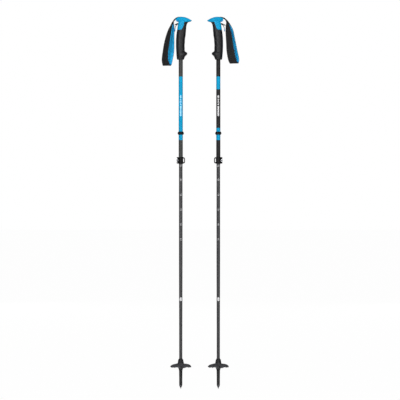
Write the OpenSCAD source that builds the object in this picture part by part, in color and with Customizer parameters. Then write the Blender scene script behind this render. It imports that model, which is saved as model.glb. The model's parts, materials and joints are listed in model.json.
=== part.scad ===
// Pair of two-section adjustable touring poles: hooked grip with wrist strap,
// painted upper tube, flip-lever lock, marked lower tube, powder basket and tip.
// Millimetres, +Z up, tips on Z = 0. Each pole is drawn on the Z axis with its
// beak forward along +X. Both share one design; the right pole is the left one
// turned half a turn about Z, so the beaks face each other.

/* [Pair] */
// Distance between the axes of the two poles
pole_gap = 126; // [110:1:400]

/* [Tubes] */
// Outside diameter of the upper tube
upper_od = 14; // [13.8:0.1:14.2]
// Wall of the upper tube
upper_wall = 0.9; // [0.8:0.05:1]
// Radial running clearance between the two tubes
tube_clear = 0.1; // [0.05:0.01:0.15]
// Outside diameter of the lower tube at its thin end
lower_tip_od = 10; // [9.6:0.1:10.2]
// Wall of the lower tube
lower_wall = 0.8; // [0.6:0.05:0.9]
// Height at which the lower tube starts to taper
taper_top = 430; // [400:5:440]
// Height at which the taper ends
taper_bottom = 200; // [160:5:260]

/* [Lock] */
// Height of the middle of the lock above the tip
lock_mid = 766; // [760:1:780]
// Height of the lock collar
lock_height = 22; // [20:0.5:24]
// Outside radius of the collar
collar_r = 8.3; // [8.2:0.1:8.5]
// Thickness of the lever arm
arm_t = 1.8; // [1.4:0.1:2]
// How far the finger loop stands out in front of the axis
loop_reach = 14.4; // [13.8:0.1:15]
// Radius of the lever trunnions
trunnion_r = 1.3; // [1.1:0.05:1.4]

/* [Shaft ring] */
// Height of the middle of the rubber ring
ring_mid = 857; // [850:1:900]
// Outside radius of the rubber ring
ring_r = 10.8; // [9.5:0.1:12]
// Height of the rubber ring
ring_h = 10.5; // [10:0.5:16]

/* [Grip] */
// Half width of the grip across the hand
grip_half_w = 13.6; // [13:0.1:15]
// Radius of the hard core inside the soft grip
core_r = 9.4; // [9:0.1:9.8]
// Radial gap between parts that are glued or moulded together
glue_gap = 0.05; // [0.03:0.01:0.08]

/* [Strap] */
// Width of the padded band
band_w = 27; // [25:0.5:28]
// Width of the plain webbing where it enters the head
web_w = 15; // [14:0.5:16]
// Thickness of the webbing
web_t = 1.5; // [1.2:0.1:1.6]
// Thickness of the lining
lining_t = 1.4; // [0.8:0.1:1.4]
// How far the left loop hangs out behind the grip beyond its closest position
left_swing = 0; // [0:0.5:6]
// How far the right loop hangs out behind the grip beyond its closest position
right_swing = 5; // [0:0.5:6]

/* [Basket and tip] */
// Radius over the basket lobes
basket_r = 35.5; // [31:0.5:37]
// Number of basket lobes
basket_lobes = 6; // [5:1:8]
// Turn of the lobes about the pole
lobe_turn = 8; // [0:1:59]
// Thickness of the basket dish
basket_t = 2.2; // [1.6:0.1:2.6]
// Radius of the boss that the basket sits on
boss_r = 6.4; // [6.2:0.1:6.6]
// Radius of the ferrule's lower end, where a rubber cap pushes on
cap_r = 5.35; // [5.25:0.05:5.45]
// Radial running clearance between basket and boss
basket_clear = 0.1; // [0.06:0.01:0.15]

/* [Hidden] */
$fn = 72;
over = 1;                       // how far a cut runs past the face it opens

// Tubes
upper_r = upper_od / 2;
upper_ir = upper_r - upper_wall;
fixed_bore = upper_r + glue_gap;   // bore of the parts fixed on the upper tube
lower_r = upper_ir - tube_clear;
lower_ir = lower_r - lower_wall;
lower_tip_r = lower_tip_od / 2;
lower_tip_ir = lower_tip_r - lower_wall;

// Heights of the lock and of the tube ends
lock_lo = lock_mid - lock_height / 2;
lock_hi = lock_mid + lock_height / 2;
tube_lo = lock_lo + 2.2;
tube_hi = 1195;
lower_hi = 842;
lower_lo = 70;

// ---- helpers -----------------------------------------------------------

module left_place() { translate([-pole_gap / 2, 0, 0]) children(); }
module right_place() { translate([pole_gap / 2, 0, 0]) rotate([0, 0, 180]) children(); }

// A tube or ring with straight walls
module ring_solid(outer, inner, low, high) {
    difference() {
        translate([0, 0, low]) cylinder(h = high - low, r = outer);
        translate([0, 0, low - over]) cylinder(h = high - low + 2 * over, r = inner);
    }
}

// Extrude an outline given as [forward, up] across the pole
module across(half, points) {
    rotate([90, 0, 0]) linear_extrude(height = 2 * half, center = true) polygon(points);
}

// Round rod across the pole, centred at [forward, up]
module cross_rod(at, length, radius) {
    translate([at[0], 0, at[1]]) rotate([90, 0, 0])
        cylinder(h = length, r = radius, center = true);
}

// Smooth value at x from a table of [x, value] rows: a cubic through the rows,
// whose slope at a row is the harmonic mean of the slopes on either side
function span_at(x, table, i = 0) =
    i >= len(table) - 2 || x <= table[i + 1][0] ? i : span_at(x, table, i + 1);
function chord(table, i) =
    (table[i + 1][1] - table[i][1]) / (table[i + 1][0] - table[i][0]);
function slope(table, i) = i <= 0 ? chord(table, 0)
    : i >= len(table) - 1 ? chord(table, i - 1)
    : let (before = chord(table, i - 1), after = chord(table, i))
      before * after <= 0 ? 0 : 2 * before * after / (before + after);
function smooth(x, table) = let (
        i = span_at(x, table),
        span = table[i + 1][0] - table[i][0],
        s = min(1, max(0, (x - table[i][0]) / span)),
        rise0 = slope(table, i) * span,
        rise1 = slope(table, i + 1) * span)
    (2 * s * s * s - 3 * s * s + 1) * table[i][1] + (s * s * s - 2 * s * s + s) * rise0
    + (3 * s * s - 2 * s * s * s) * table[i + 1][1] + (s * s * s - s * s) * rise1;

// One rounded cross-section with its front and rear edges and half width.
// square is the exponent of the oval (2 = ellipse, more = squarer); taper
// narrows the front
side_n = 32;
function slice(z, front, rear, half, square, taper = 0) = [for (i = [0:side_n - 1])
    let (angle = 360 * i / side_n, along = cos(angle), side = sin(angle))
    [(front + rear) / 2 + (front - rear) / 2 * sign(along) * pow(abs(along), 2 / square),
     half * sign(side) * pow(abs(side), 2 / square) * (1 - taper * pow(max(0, along), 1.4)),
     z]];

// Skin over a list of closed cross-sections with equal point counts; other
// picks the other diagonal of each quad, so that two layers can lie together
module skin(rings, other = false) {
    count = len(rings[0]);
    last = len(rings) - 1;
    polyhedron(
        points = [for (ring = rings) for (point = ring) point],
        faces = concat([[for (i = [0:count - 1]) i]],
            [for (k = [0:last - 1]) for (i = [0:count - 1]) let (j = (i + 1) % count)
                [k * count + i, (k + 1) * count + i, (other ? k + 1 : k) * count + j]],
            [for (k = [0:last - 1]) for (i = [0:count - 1]) let (j = (i + 1) % count)
                [k * count + j, (other ? k : k + 1) * count + i, (k + 1) * count + j]],
            [[for (i = [count - 1:-1:0]) last * count + i]]),
        convexity = 6);
}

// ---- grip --------------------------------------------------------------

grip_lo = 1104;
split_z = 1229.5;               // joint between the soft grip and the hard head
core_lo = 1119;                 // lower end of the hard core
core_length = 110;
pin_at = [-4.6, 1228.7];        // strap pin, [forward, up]

// Soft grip: [height, forward place of the front edge]
GRIP_FRONT = [[1104, 10], [1108, 11], [1112, 12.2], [1116, 15], [1120, 19.4],
    [1123.5, 21], [1127, 19.8], [1131, 15.6], [1136, 13.4], [1145, 13],
    [1163, 13.6], [1183, 15.8], [1195, 17.2], [1208, 18.2], [1216, 19],
    [1224, 21], [1229.4, 25]];
// [height, forward place of the rear edge]
GRIP_REAR = [[1104, -12.6], [1110, -14], [1122, -14.6], [1135, -15.2],
    [1150, -16], [1165, -16], [1183, -15], [1195, -13.4], [1204, -12],
    [1216, -10.4], [1229.4, -9]];
// [height, half width]
GRIP_HALF = [[1104, 11.6], [1110, 12.8], [1123, 13.4], [1145, grip_half_w],
    [1170, grip_half_w], [1200, 13.4], [1215, 13.2], [1229.4, 13.6]];
// [height, squareness]
GRIP_SQUARE = [[1104, 2.3], [1180, 2.3], [1204, 2.7], [1216, 3], [1229.5, 3]];

function grip_sections(low, high, steps) = [for (k = [0:steps])
    let (z = low + (high - low) * k / steps)
    slice(z, smooth(z, GRIP_FRONT), smooth(z, GRIP_REAR), smooth(z, GRIP_HALF),
        smooth(z, GRIP_SQUARE))];

// Border between the hard tongue and the soft grip, [forward, up], grown by grow
function tongue(grow) = [[-30, 1203 - grow], [0.6, 1203.4 - grow], [5 + grow, 1206 - grow],
    [8.3 + grow, 1214 - grow], [10 + grow, 1219 - grow], [11.6 + grow, 1223.6],
    [14.1 + grow, split_z + 0.4], [-30, split_z + 0.4]];
tongue_half = 40;               // wider than the grip

module grip() {
    color([0.10, 0.10, 0.11]) difference() {
        skin(grip_sections(grip_lo, split_z - glue_gap, 34));
        translate([0, 0, grip_lo - over]) cylinder(h = 40, r = fixed_bore);
        translate([0, 0, core_lo - over]) cylinder(h = 140, r = core_r + glue_gap);
        across(tongue_half, tongue(glue_gap));
    }
}

// Hard head: [height, forward place of the front edge], out to the beak
HEAD_FRONT = [[1229.5, 25.4], [1231.2, 32], [1232.4, 35.2], [1233.6, 36.8], [1234.6, 37],
    [1235.8, 36.2], [1237.6, 33.8], [1239.6, 30.6], [1241.6, 26.8], [1243.4, 22.6],
    [1245, 18.4], [1246.3, 14], [1247.1, 10], [1247.6, 5]];
// [height, forward place of the rear edge]
HEAD_REAR = [[1229.5, -9.4], [1231, -10.6], [1233, -13.2], [1235, -15.8], [1237, -17.4],
    [1239, -17.9], [1241, -17.3], [1243, -15.6], [1244.6, -13], [1246, -9.6],
    [1246.8, -6.8], [1247.3, -4.4], [1247.6, -2.4]];
// [height, half width]
HEAD_HALF = [[1229.5, 13.7], [1232, 13.9], [1234, 14.3], [1236, 15], [1237.6, 15.6],
    [1239, 15.7], [1240.6, 15.2], [1242.4, 14], [1244, 12.4], [1245.6, 10],
    [1246.7, 7.4], [1247.3, 5.2], [1247.6, 3.2]];
// Heights of the head's cross-sections
HEAD_Z = [1229.5, 1230.2, 1231, 1231.8, 1232.6, 1233.4, 1234.2, 1235.2, 1236.4, 1237.6,
    1238.8, 1240, 1241.2, 1242.4, 1243.6, 1244.6, 1245.5, 1246.3, 1246.9, 1247.3, 1247.6];

// The first two sections are a stub below the joint
function head_sections() = concat(
    [slice(z = 1226.5, front = 9, rear = -6, half = 10.5, square = 3),
     slice(z = 1229.45, front = 10, rear = -7, half = 11.5, square = 3)],
    [for (z = HEAD_Z) slice(z, smooth(z, HEAD_FRONT), smooth(z, HEAD_REAR),
        smooth(z, HEAD_HALF), square = 2.7, taper = 0.38)]);

// Room inside the head for the webbing, the wedge and the pin, open to the
// rear, [forward, up]
CAVITY = [[-34, 1220.9], [-11, 1221.4], [-5.7, 1222.6], [-0.5, 1224.2], [4.1, 1226.8],
    [7.1, 1230.6], [7.9, 1235.2], [7, 1239.8], [3.9, 1243.7], [-0.8, 1246.5],
    [-4.2, 1247.3], [-5.4, 1250], [-5.4, 1258], [-34, 1258]];

module grip_head() {
    bore_lo = core_lo - over;
    color([0.05, 0.55, 0.86]) difference() {
        union() {
            skin(head_sections());
            intersection() {
                skin(grip_sections(1200, split_z - 0.05, 10));
                across(tongue_half, tongue(0));
            }
            translate([0, 0, core_lo]) cylinder(h = core_length, r = core_r);
        }
        translate([0, 0, bore_lo]) cylinder(h = tube_hi + 1 - bore_lo, r = fixed_bore);
        across(web_w / 2 + 0.7, CAVITY);
        cross_rod(pin_at, length = 24.6, radius = 1.3);
    }
}

// Cross pin under the wedge: both ends of the strap turn out below it
module strap_pin() {
    color([0.35, 0.36, 0.38]) cross_rod(pin_at, length = 21.2, radius = 1.25);
}

// Wedge outline, [forward, up]
WEDGE = [[-16.6, 1236.6], [-15.6, 1234], [-12.4, 1231.6], [-7.4, 1230.3], [1.4, 1230.3],
    [3.3, 1232.6], [3.9, 1235.3], [3.3, 1238.1], [1.1, 1240.6], [-2.2, 1242.6],
    [-6.5, 1243.5], [-12.1, 1241.8], [-16.8, 1238.5]];

module strap_wedge() {
    color([0.05, 0.50, 0.80]) across(web_w / 2 + 0.4, WEDGE);
}

// ---- strap -------------------------------------------------------------

// Centre line of the webbing. Columns: forward, sideways, up, turn of the width
// direction, width, then the forward and up shifts for each millimetre of swing
STRAP = [
    // in through the slot under the wedge
    [-20.2, 0, 1220.3, 90, web_w, -0.66, -0.36],
    [-16.4, 0, 1222.6, 90, web_w, -0.3, -0.1],
    [-11.6, 0, 1224.6, 90, web_w, 0, 0],
    [-6.5, 0, 1225.72, 90, web_w, 0, 0],
    // round the wedge as the inner ply
    [-1.6, 0, 1227.2, 90, web_w, 0, 0],
    [2.3, 0, 1229.5, 90, web_w, 0, 0],
    [4.3, 0, 1232.2, 90, web_w, 0, 0],
    [4.88, 0, 1235.3, 90, web_w, 0, 0],
    [4.2, 0, 1238.6, 90, web_w, 0, 0],
    [1.75, 0, 1241.4, 90, web_w, 0, 0],
    [-1.8, 0, 1243.6, 90, web_w, 0, 0],
    [-6.5, 0, 1244.5, 90, web_w, 0, 0],
    [-12.7, 0, 1242.75, 90, web_w, 0, 0.18],
    [-17.9, 0, 1239.35, 90, web_w, -0.21, 0.44],
    // down the +Y leg of the hanging loop
    [-21.6, 0.2, 1234.8, 90, web_w, -0.42, 0.54],
    [-24.3, 1.2, 1229.4, 102, web_w, -0.72, 0.3],
    [-27, 5.4, 1220, 131, 16, -0.66, 0],
    [-28.2, 9.5, 1210, 142, 17.4, -0.66, 0],
    [-29.5, 13, 1200, 151, 19.4, -0.6, 0],
    [-31.8, 17.5, 1182, 155, band_w - 4.6, -0.62, 0],
    [-32.8, 20.5, 1157, 153, band_w - 2, -0.9, 0.02],
    [-35.6, 20, 1131, 165, band_w, -0.96, 0.06],
    [-40.5, 15.5, 1106, 174, band_w, -0.95, 0.2],
    [-43.8, 8, 1090, 176, band_w, -1.2, 1.1],
    // bottom of the loop, then up the -Y leg
    [-46.5, 0, 1084.2, 170, band_w, -1.4, 1.5],
    [-49.4, -8, 1088.4, 158, band_w - 0.5, -1.4, 1.3],
    [-52.8, -14.5, 1103, 144, band_w - 1, -1.3, 0.5],
    [-51, -19.5, 1128, 137, band_w - 1.4, -1, 0.1],
    [-46.8, -19.5, 1155, 138, band_w - 2, -0.84, 0],
    [-42, -16, 1180, 137, band_w - 5, -1, 0],
    [-36.8, -10.5, 1202, 130, 18.6, -1.5, 0],
    [-31.5, -5.4, 1218, 115, 16, -1.5, 0],
    [-28, -1.6, 1229.8, 98, 15.4, -0.95, 0.1],
    [-23.4, -0.2, 1236.05, 90, web_w, -0.42, 0.54],
    // back over the wedge as the outer ply
    [-19.1, 0, 1240.7, 90, web_w, -0.21, 0.44],
    [-13.2, 0, 1244.5, 90, web_w, 0, 0.18],
    [-6.6, 0, 1246.25, 90, web_w, 0, 0],
    [-1.2, 0, 1245.3, 90, web_w, 0, 0],
    [3, 0, 1242.7, 90, web_w, 0, 0],
    [5.8, 0, 1239.2, 90, web_w, 0, 0],
    [6.6, 0, 1235.2, 90, web_w, 0, 0],
    [5.8, 0, 1231.2, 90, web_w, 0, 0],
    [3.2, 0, 1227.8, 90, web_w, 0, 0],
    // out under the wedge as the free tail
    [-1, 0, 1225.4, 90, web_w, 0, 0],
    [-6, 0, 1223.95, 90, web_w, 0, 0],
    [-11, 0, 1222.8, 90, web_w, 0, 0],
    [-15, 0, 1219.4, 90, web_w, -0.2, 0],
    [-18, 0, 1212.4, 90, web_w, -0.3, 0],
    [-19.2, 0, 1205.4, 90, web_w, -0.3, 0],
    [-19.6, 0, 1199, 90, web_w, -0.3, 0]];
strap_sub = 5;                  // steps between two rows
lining_first = 15 * strap_sub + 3;   // steps between which the lining runs
lining_last = 31 * strap_sub + 2;
lining_gap = 0.12;
lining_inset = 1;               // how much narrower than the webbing the lining is

function strap_rows(swing) = [for (row = STRAP)
    [row[0] + swing * row[5], row[1], row[2] + swing * row[6], row[3], row[4]]];
// Catmull-Rom curve from start to end
function cubic(before, start, end, after, s) = 0.5 * (2 * start + (end - before) * s
    + (2 * before - 5 * start + 4 * end - after) * s * s
    + (3 * start - before - 3 * end + after) * s * s * s);
function strap_path(swing) = let (rows = strap_rows(swing), last = len(rows) - 1)
    [for (i = [0:last - 1]) for (k = [0:(i == last - 1 ? strap_sub : strap_sub - 1)])
        cubic(rows[max(0, i - 1)], rows[i], rows[i + 1], rows[min(last, i + 2)],
            k / strap_sub)];
function place_of(row) = [row[0], row[1], row[2]];
function unit(v) = v / norm(v);
// Rings of a flat strip: low and high are the distances of its two faces from
// the centre line, positive towards the outside of the hanging loop
function strip_rings(path, low, high) = [for (i = [0:len(path) - 1])
    let (centre = place_of(path[i]),
        turn = path[i][3],
        along = unit(place_of(path[min(len(path) - 1, i + 1)])
            - place_of(path[max(0, i - 1)])),
        level = [cos(turn), sin(turn), 0],
        wide = unit(level - (level * along) * along),
        out = cross(along, wide),
        half = path[i][4] / 2)
    [centre - wide * half + out * low, centre + wide * half + out * low,
     centre + wide * half + out * high, centre - wide * half + out * high]];

module strap_webbing(swing) {
    color([0.13, 0.13, 0.14])
        skin(strip_rings(strap_path(swing), -web_t / 2, web_t / 2));
}

module strap_lining(swing) {
    outer_face = -web_t / 2 - lining_gap;
    path = [for (row = strap_path(swing))
        [row[0], row[1], row[2], row[3], row[4] - lining_inset]];
    rings = strip_rings(path, outer_face - lining_t, outer_face);
    color([0.12, 0.56, 0.85])
        skin([for (i = [lining_first:lining_last]) rings[i]], other = true);
}

// ---- tubes -------------------------------------------------------------

slit_w = 1.6;                   // slit behind the axis in upper tube and collar

module upper_tube() {
    color([0.20, 0.21, 0.21]) difference() {
        ring_solid(upper_r, upper_ir, tube_lo, tube_hi);
        translate([-upper_r - over, -slit_w / 2, tube_lo - over])
            cube([upper_r, slit_w, lock_hi + 3 - tube_lo]);
    }
}

module shaft_ring() {
    half = ring_h / 2;
    end_r = upper_r + 0.9;
    color([0.06, 0.06, 0.07]) translate([0, 0, ring_mid]) rotate_extrude()
        polygon([[fixed_bore, -half], [end_r, -half], [ring_r - 1.4, -half * 0.46],
            [ring_r - 0.3, -half * 0.24], [ring_r, 0], [ring_r - 0.3, half * 0.24],
            [ring_r - 1.4, half * 0.46], [end_r, half], [fixed_bore, half]]);
}

module mouth_bushing() {
    color([0.30, 0.30, 0.31])
        ring_solid(upper_r - 0.1, lower_r + 0.06, lock_lo - 1.6, tube_lo - 0.05);
}

module lower_tube() {
    color([0.26, 0.26, 0.27]) rotate_extrude()
        polygon([[lower_tip_ir, lower_lo], [lower_tip_r, lower_lo],
            [lower_tip_r, taper_bottom], [lower_r, taper_top], [lower_r, lower_hi],
            [lower_ir, lower_hi], [lower_ir, taper_top], [lower_tip_ir, taper_bottom]]);
}

// Plug in the top of the lower tube, with a rim on the tube's end
module tube_guide() {
    bore = 3;
    plug_r = lower_ir - glue_gap;
    plug_lo = lower_hi - 16;
    rim_r = lower_r + 0.03;
    rim_lo = lower_hi + 0.05;
    rim_hi = lower_hi + 6.4;
    color([0.16, 0.16, 0.17]) rotate_extrude()
        polygon([[bore, plug_lo], [plug_r, plug_lo], [plug_r, rim_lo], [rim_r, rim_lo],
            [rim_r, lower_hi + 5], [lower_r - 1, rim_hi], [bore, rim_hi]]);
}

// ---- lock --------------------------------------------------------------

pivot = [-10.7, 7.0];           // lever axis, [forward, sideways]
screw_at = [pivot[0], lock_mid];   // lock screw, [forward, up]
lug_half = 3.4;                 // half width over the two lugs of the collar
lug_seat = lug_half + 0.05;     // where washer and screw head sit
lug_rear = -13.2;
screw_hole_r = 1.6;

module lock_collar() {
    boss_half = 4.3;            // half height of the middle of the lugs
    horn_gap = 4.6;             // from mid height to a horn
    color([0.07, 0.07, 0.08]) difference() {
        union() {
            translate([0, 0, lock_lo]) cylinder(h = lock_height, r = collar_r);
            // the two lugs of the split, joined to the collar
            translate([lug_rear, -lug_half, lock_mid - boss_half])
                cube([8, 2 * lug_half, 2 * boss_half]);
            translate([-11, -lug_half, lock_lo + 0.6])
                cube([6, 2 * lug_half, lock_height - 1.2]);
            // horns below and above the screw head
            for (side = [-1, 1]) {
                edge = lock_mid + side * lock_height / 2;
                inner = lock_mid + side * horn_gap;
                translate([-7, 0, 0]) rotate([90, 0, 0]) linear_extrude(height = 7.6)
                    polygon([[0, edge - side * 0.4], [-5.9, edge - side * 0.4],
                        [-6.4, edge - side * 3.4], [-4.6, inner], [0, inner]]);
            }
        }
        translate([0, 0, lock_lo - over]) cylinder(h = lock_height + 2 * over, r = fixed_bore);
        translate([-20, -slit_w / 2, lock_lo - over])
            cube([16, slit_w, lock_height + 2 * over]);
        cross_rod(screw_at, length = 30, radius = screw_hole_r);
        // seat of the screw head
        translate([pivot[0], -lug_half, lock_mid]) rotate([90, 0, 0])
            cylinder(h = 10, r = 3.8);
    }
}

// Plate between the +Y lug and the lever
module cam_washer() {
    thick = 0.5;
    half = 9;
    color([0.70, 0.71, 0.73]) translate([0, lug_seat, 0]) rotate([-90, 0, 0]) difference() {
        translate([lug_rear, -lock_mid - half, 0]) cube([5, 2 * half, thick]);
        translate([pivot[0], -lock_mid, -over]) cylinder(h = 3, r = screw_hole_r);
    }
}

// Head on the -Y side with a hexagon socket, shank to the barrel on the +Y side
module lock_screw() {
    color([0.78, 0.79, 0.81]) translate([pivot[0], 0, lock_mid]) rotate([90, 0, 0])
        difference() {
            union() {
                translate([0, 0, lug_seat]) cylinder(h = 2.8, r = 3.5);
                translate([0, 0, -8.6]) cylinder(h = 12.6, r = 1.45);
            }
            translate([0, 0, 4.6]) cylinder(h = 3, r = 1.75, $fn = 6);
        }
}

module lock_barrel() {
    barrel_half = 4.2;
    trunnion_half = 9.6;
    color([0.74, 0.75, 0.77]) difference() {
        translate([pivot[0], pivot[1], 0]) union() {
            translate([0, 0, lock_mid - barrel_half]) cylinder(h = 2 * barrel_half, r = 2.7);
            translate([0, 0, lock_mid - trunnion_half])
                cylinder(h = 2 * trunnion_half, r = trunnion_r);
        }
        cross_rod(screw_at, length = 40, radius = 1.5);
    }
}

// Plan outline of the lever, closed: cam hub, arm round the collar, finger loop
module lever_plan() {
    arm_ir = collar_r + 0.45;
    arm_side = 4.6;             // the arm lies beyond this on the +Y side
    reach = loop_reach;
    union() {
        // cam hub with a flat
        difference() {
            translate(pivot) circle(r = 2.9);
            translate(pivot) rotate(150) translate([2.15, -4]) square([4, 8]);
        }
        difference() {
            circle(r = arm_ir + arm_t);
            circle(r = arm_ir);
            translate([-30, -60]) square([60, 60 + arm_side]);
            translate([-60 + pivot[0] + 0.6, -10]) square([60, 40]);
        }
        polygon([[8.0, arm_side], [reach - 1.6, 1.4], [reach - 0.4, 1.6], [reach, 2.6],
            [reach - 0.4, 4.2], [8.6, 7.0]]);
    }
}

module lock_lever() {
    trim = 0.4;                 // lever ends inside the collar's ends
    corner = 6;                 // front corners of the finger loop
    full_height_end = 5.6;      // full height stops this far behind the loop's front
    rear = 20;                  // behind everything on the lever
    window_rear = 5.2;
    window_front = loop_reach - 3.2;
    window_corner = 2.4;
    window_flat = 3.8;          // half height between the window's corners
    window_half = window_flat + window_corner;
    room_half = 4.4;
    color([0.06, 0.06, 0.07]) difference() {
        intersection() {
            translate([0, 0, lock_lo + trim]) linear_extrude(height = lock_height - 2 * trim)
                lever_plan();
            // rounded front corners of the finger loop
            rotate([90, 0, 0]) linear_extrude(height = 60, center = true) union() {
                translate([-rear, lock_lo])
                    square([loop_reach + rear - full_height_end, lock_height]);
                translate([-rear, lock_lo + corner])
                    square([loop_reach + rear, lock_height - 2 * corner]);
                for (z = [lock_lo + corner + trim, lock_hi - corner - trim])
                    translate([loop_reach - corner, z]) circle(r = corner);
            }
        }
        // finger window, seen from the side
        translate([0, 0, lock_mid]) rotate([-90, 0, 0]) linear_extrude(height = 30) union() {
            translate([window_rear, -window_flat])
                square([window_front - window_rear, 2 * window_flat]);
            for (side = [-1, 1])
                translate([window_front - window_corner, side * window_flat])
                    circle(r = window_corner);
            translate([window_rear, -window_half])
                square([window_front - window_corner - window_rear, 2 * window_half]);
        }
        // room for the barrel between the two knuckles
        translate([pivot[0], pivot[1], lock_mid - room_half])
            cylinder(h = 2 * room_half, r = 3.2);
        translate([pivot[0] - 6, pivot[1] - 6, lock_mid - room_half])
            cube([6, 12, 2 * room_half]);
        // trunnion bores
        translate([pivot[0], pivot[1], lock_lo - over])
            cylinder(h = lock_height + 2 * over, r = trunnion_r + 0.08);
    }
}

// ---- basket and tip ----------------------------------------------------

hub_top = 98;
hub_bottom = 66.2;
tip_seat = 13;                  // top of the tip's shoulder
tip_shank_r = 2.5;
tip_shank_top = 36;

// Outlines here are [radius, height]
module tip_ferrule() {
    bottom = tip_seat + 0.1;
    bore_lo = tip_seat - over;
    color([0.18, 0.18, 0.19]) difference() {
        rotate_extrude() polygon([[0, bottom], [cap_r, bottom], [cap_r, 34], [5.7, 62.4],
            [6.7, 63], [6.7, 65.2], [boss_r, 65.9], [boss_r, hub_top + 0.3],
            [6.9, hub_top + 0.5], [6.9, hub_top + 1.8], [5.7, hub_top + 3.4], [0, hub_top + 3.4]]);
        // sockets for the lower tube and the tip's shank
        translate([0, 0, lower_lo - 0.1]) cylinder(h = 60, r = lower_tip_r + glue_gap);
        translate([0, 0, bore_lo])
            cylinder(h = tip_shank_top + 0.2 - bore_lo, r = tip_shank_r + 0.05);
    }
}

module tip() {
    color([0.70, 0.71, 0.73]) rotate_extrude() polygon([[0, 0], [0.7, 0.3], [1.7, 4],
        [3.5, 6.8], [4.8, 9.6], [5.1, 10.4], [5.1, tip_seat], [tip_shank_r, tip_seat],
        [tip_shank_r, tip_shank_top], [0, tip_shank_top]]);
}

// Children once at each lobe
module at_lobes() {
    for (k = [0:basket_lobes - 1]) rotate([0, 0, 360 / basket_lobes * k + lobe_turn])
        children();
}

// Plan outline of the basket: blunt rounded lobes joined by an inner disc
module lobes_plan() {
    corner = basket_r * 0.175;
    reach = basket_r - 0.6;
    circle(r = basket_r * 0.54);
    at_lobes() {
        for (side = [-1, 1]) translate([reach - corner, side * corner]) circle(r = corner);
        polygon([[basket_r * 0.3, -basket_r * 0.2], [basket_r * 0.5, -basket_r * 0.26],
            [reach - corner, -2 * corner], [reach, -corner], [reach, corner],
            [reach - corner, 2 * corner], [basket_r * 0.5, basket_r * 0.26],
            [basket_r * 0.3, basket_r * 0.2]]);
    }
}

module basket() {
    bore = boss_r + basket_clear;
    rib_end = basket_r - 4;
    color([0.14, 0.14, 0.15]) difference() {
        union() {
            // hub
            rotate_extrude() polygon([[bore, hub_bottom], [7.4, hub_bottom], [8.6, 70],
                [10.2, 79], [10.5, 86], [9.6, 91], [8.8, 95], [8.5, hub_top - 0.1],
                [bore, hub_top - 0.1]]);
            // shallow dish cut to the lobes
            intersection() {
                rotate_extrude() polygon([[8.4, 82.2], [14, 81.0], [22, 78.8],
                    [basket_r - 3, 75.2], [basket_r, 72.8],
                    [basket_r, 73.4 + basket_t], [basket_r - 1.2, 75.4 + basket_t],
                    [22, 80 + basket_t], [14, 82 + basket_t], [8.4, 83.6 + basket_t]]);
                translate([0, 0, 60]) linear_extrude(height = 40) lobes_plan();
            }
            // rib under each lobe
            at_lobes() across(0.9, [[8.6, 73], [8.6, 83.4], [14, 82.2], [22, 79.6],
                [rib_end, 76.6], [rib_end, 74.6], [20, 74.6]]);
        }
        translate([0, 0, hub_bottom - over])
            cylinder(h = hub_top - hub_bottom + 2 * over, r = bore);
    }
}

// ---- nodes -------------------------------------------------------------

left_place() grip();  // left_grip
left_place() grip_head();  // left_grip_head
left_place() strap_webbing(left_swing);  // left_strap_webbing
left_place() strap_lining(left_swing);  // left_strap_lining
left_place() strap_wedge();  // left_strap_wedge
left_place() strap_pin();  // left_strap_pin
left_place() upper_tube();  // left_upper_tube
left_place() shaft_ring();  // left_shaft_ring
left_place() lock_collar();  // left_lock_collar
left_place() lock_lever();  // left_lock_lever
left_place() lock_barrel();  // left_lock_barrel
left_place() lock_screw();  // left_lock_screw
left_place() cam_washer();  // left_cam_washer
left_place() mouth_bushing();  // left_mouth_bushing
left_place() lower_tube();  // left_lower_tube
left_place() tube_guide();  // left_tube_guide
left_place() tip_ferrule();  // left_tip_ferrule
left_place() tip();  // left_tip
left_place() basket();  // left_basket
right_place() grip();  // right_grip
right_place() grip_head();  // right_grip_head
right_place() strap_webbing(right_swing);  // right_strap_webbing
right_place() strap_lining(right_swing);  // right_strap_lining
right_place() strap_wedge();  // right_strap_wedge
right_place() strap_pin();  // right_strap_pin
right_place() upper_tube();  // right_upper_tube
right_place() shaft_ring();  // right_shaft_ring
right_place() lock_collar();  // right_lock_collar
right_place() lock_lever();  // right_lock_lever
right_place() lock_barrel();  // right_lock_barrel
right_place() lock_screw();  // right_lock_screw
right_place() cam_washer();  // right_cam_washer
right_place() mouth_bushing();  // right_mouth_bushing
right_place() lower_tube();  // right_lower_tube
right_place() tube_guide();  // right_tube_guide
right_place() tip_ferrule();  // right_tip_ferrule
right_place() tip();  // right_tip
right_place() basket();  // right_basket
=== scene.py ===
"""A pair of adjustable walking poles, upright on their tips and side by side along X.

Every piece of a pole is drawn in millimetres in the pole's own frame: u forward, v sideways and
z up from the tip, with the pole's axis at u = v = 0. The left pole has u along +X and v along +Y.
The right pole is turned half round, so its u runs along -X and its v along -Y. "Front" and
"rear" mean +u and -u. The scene itself is in metres.
"""
import json
import math

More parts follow.
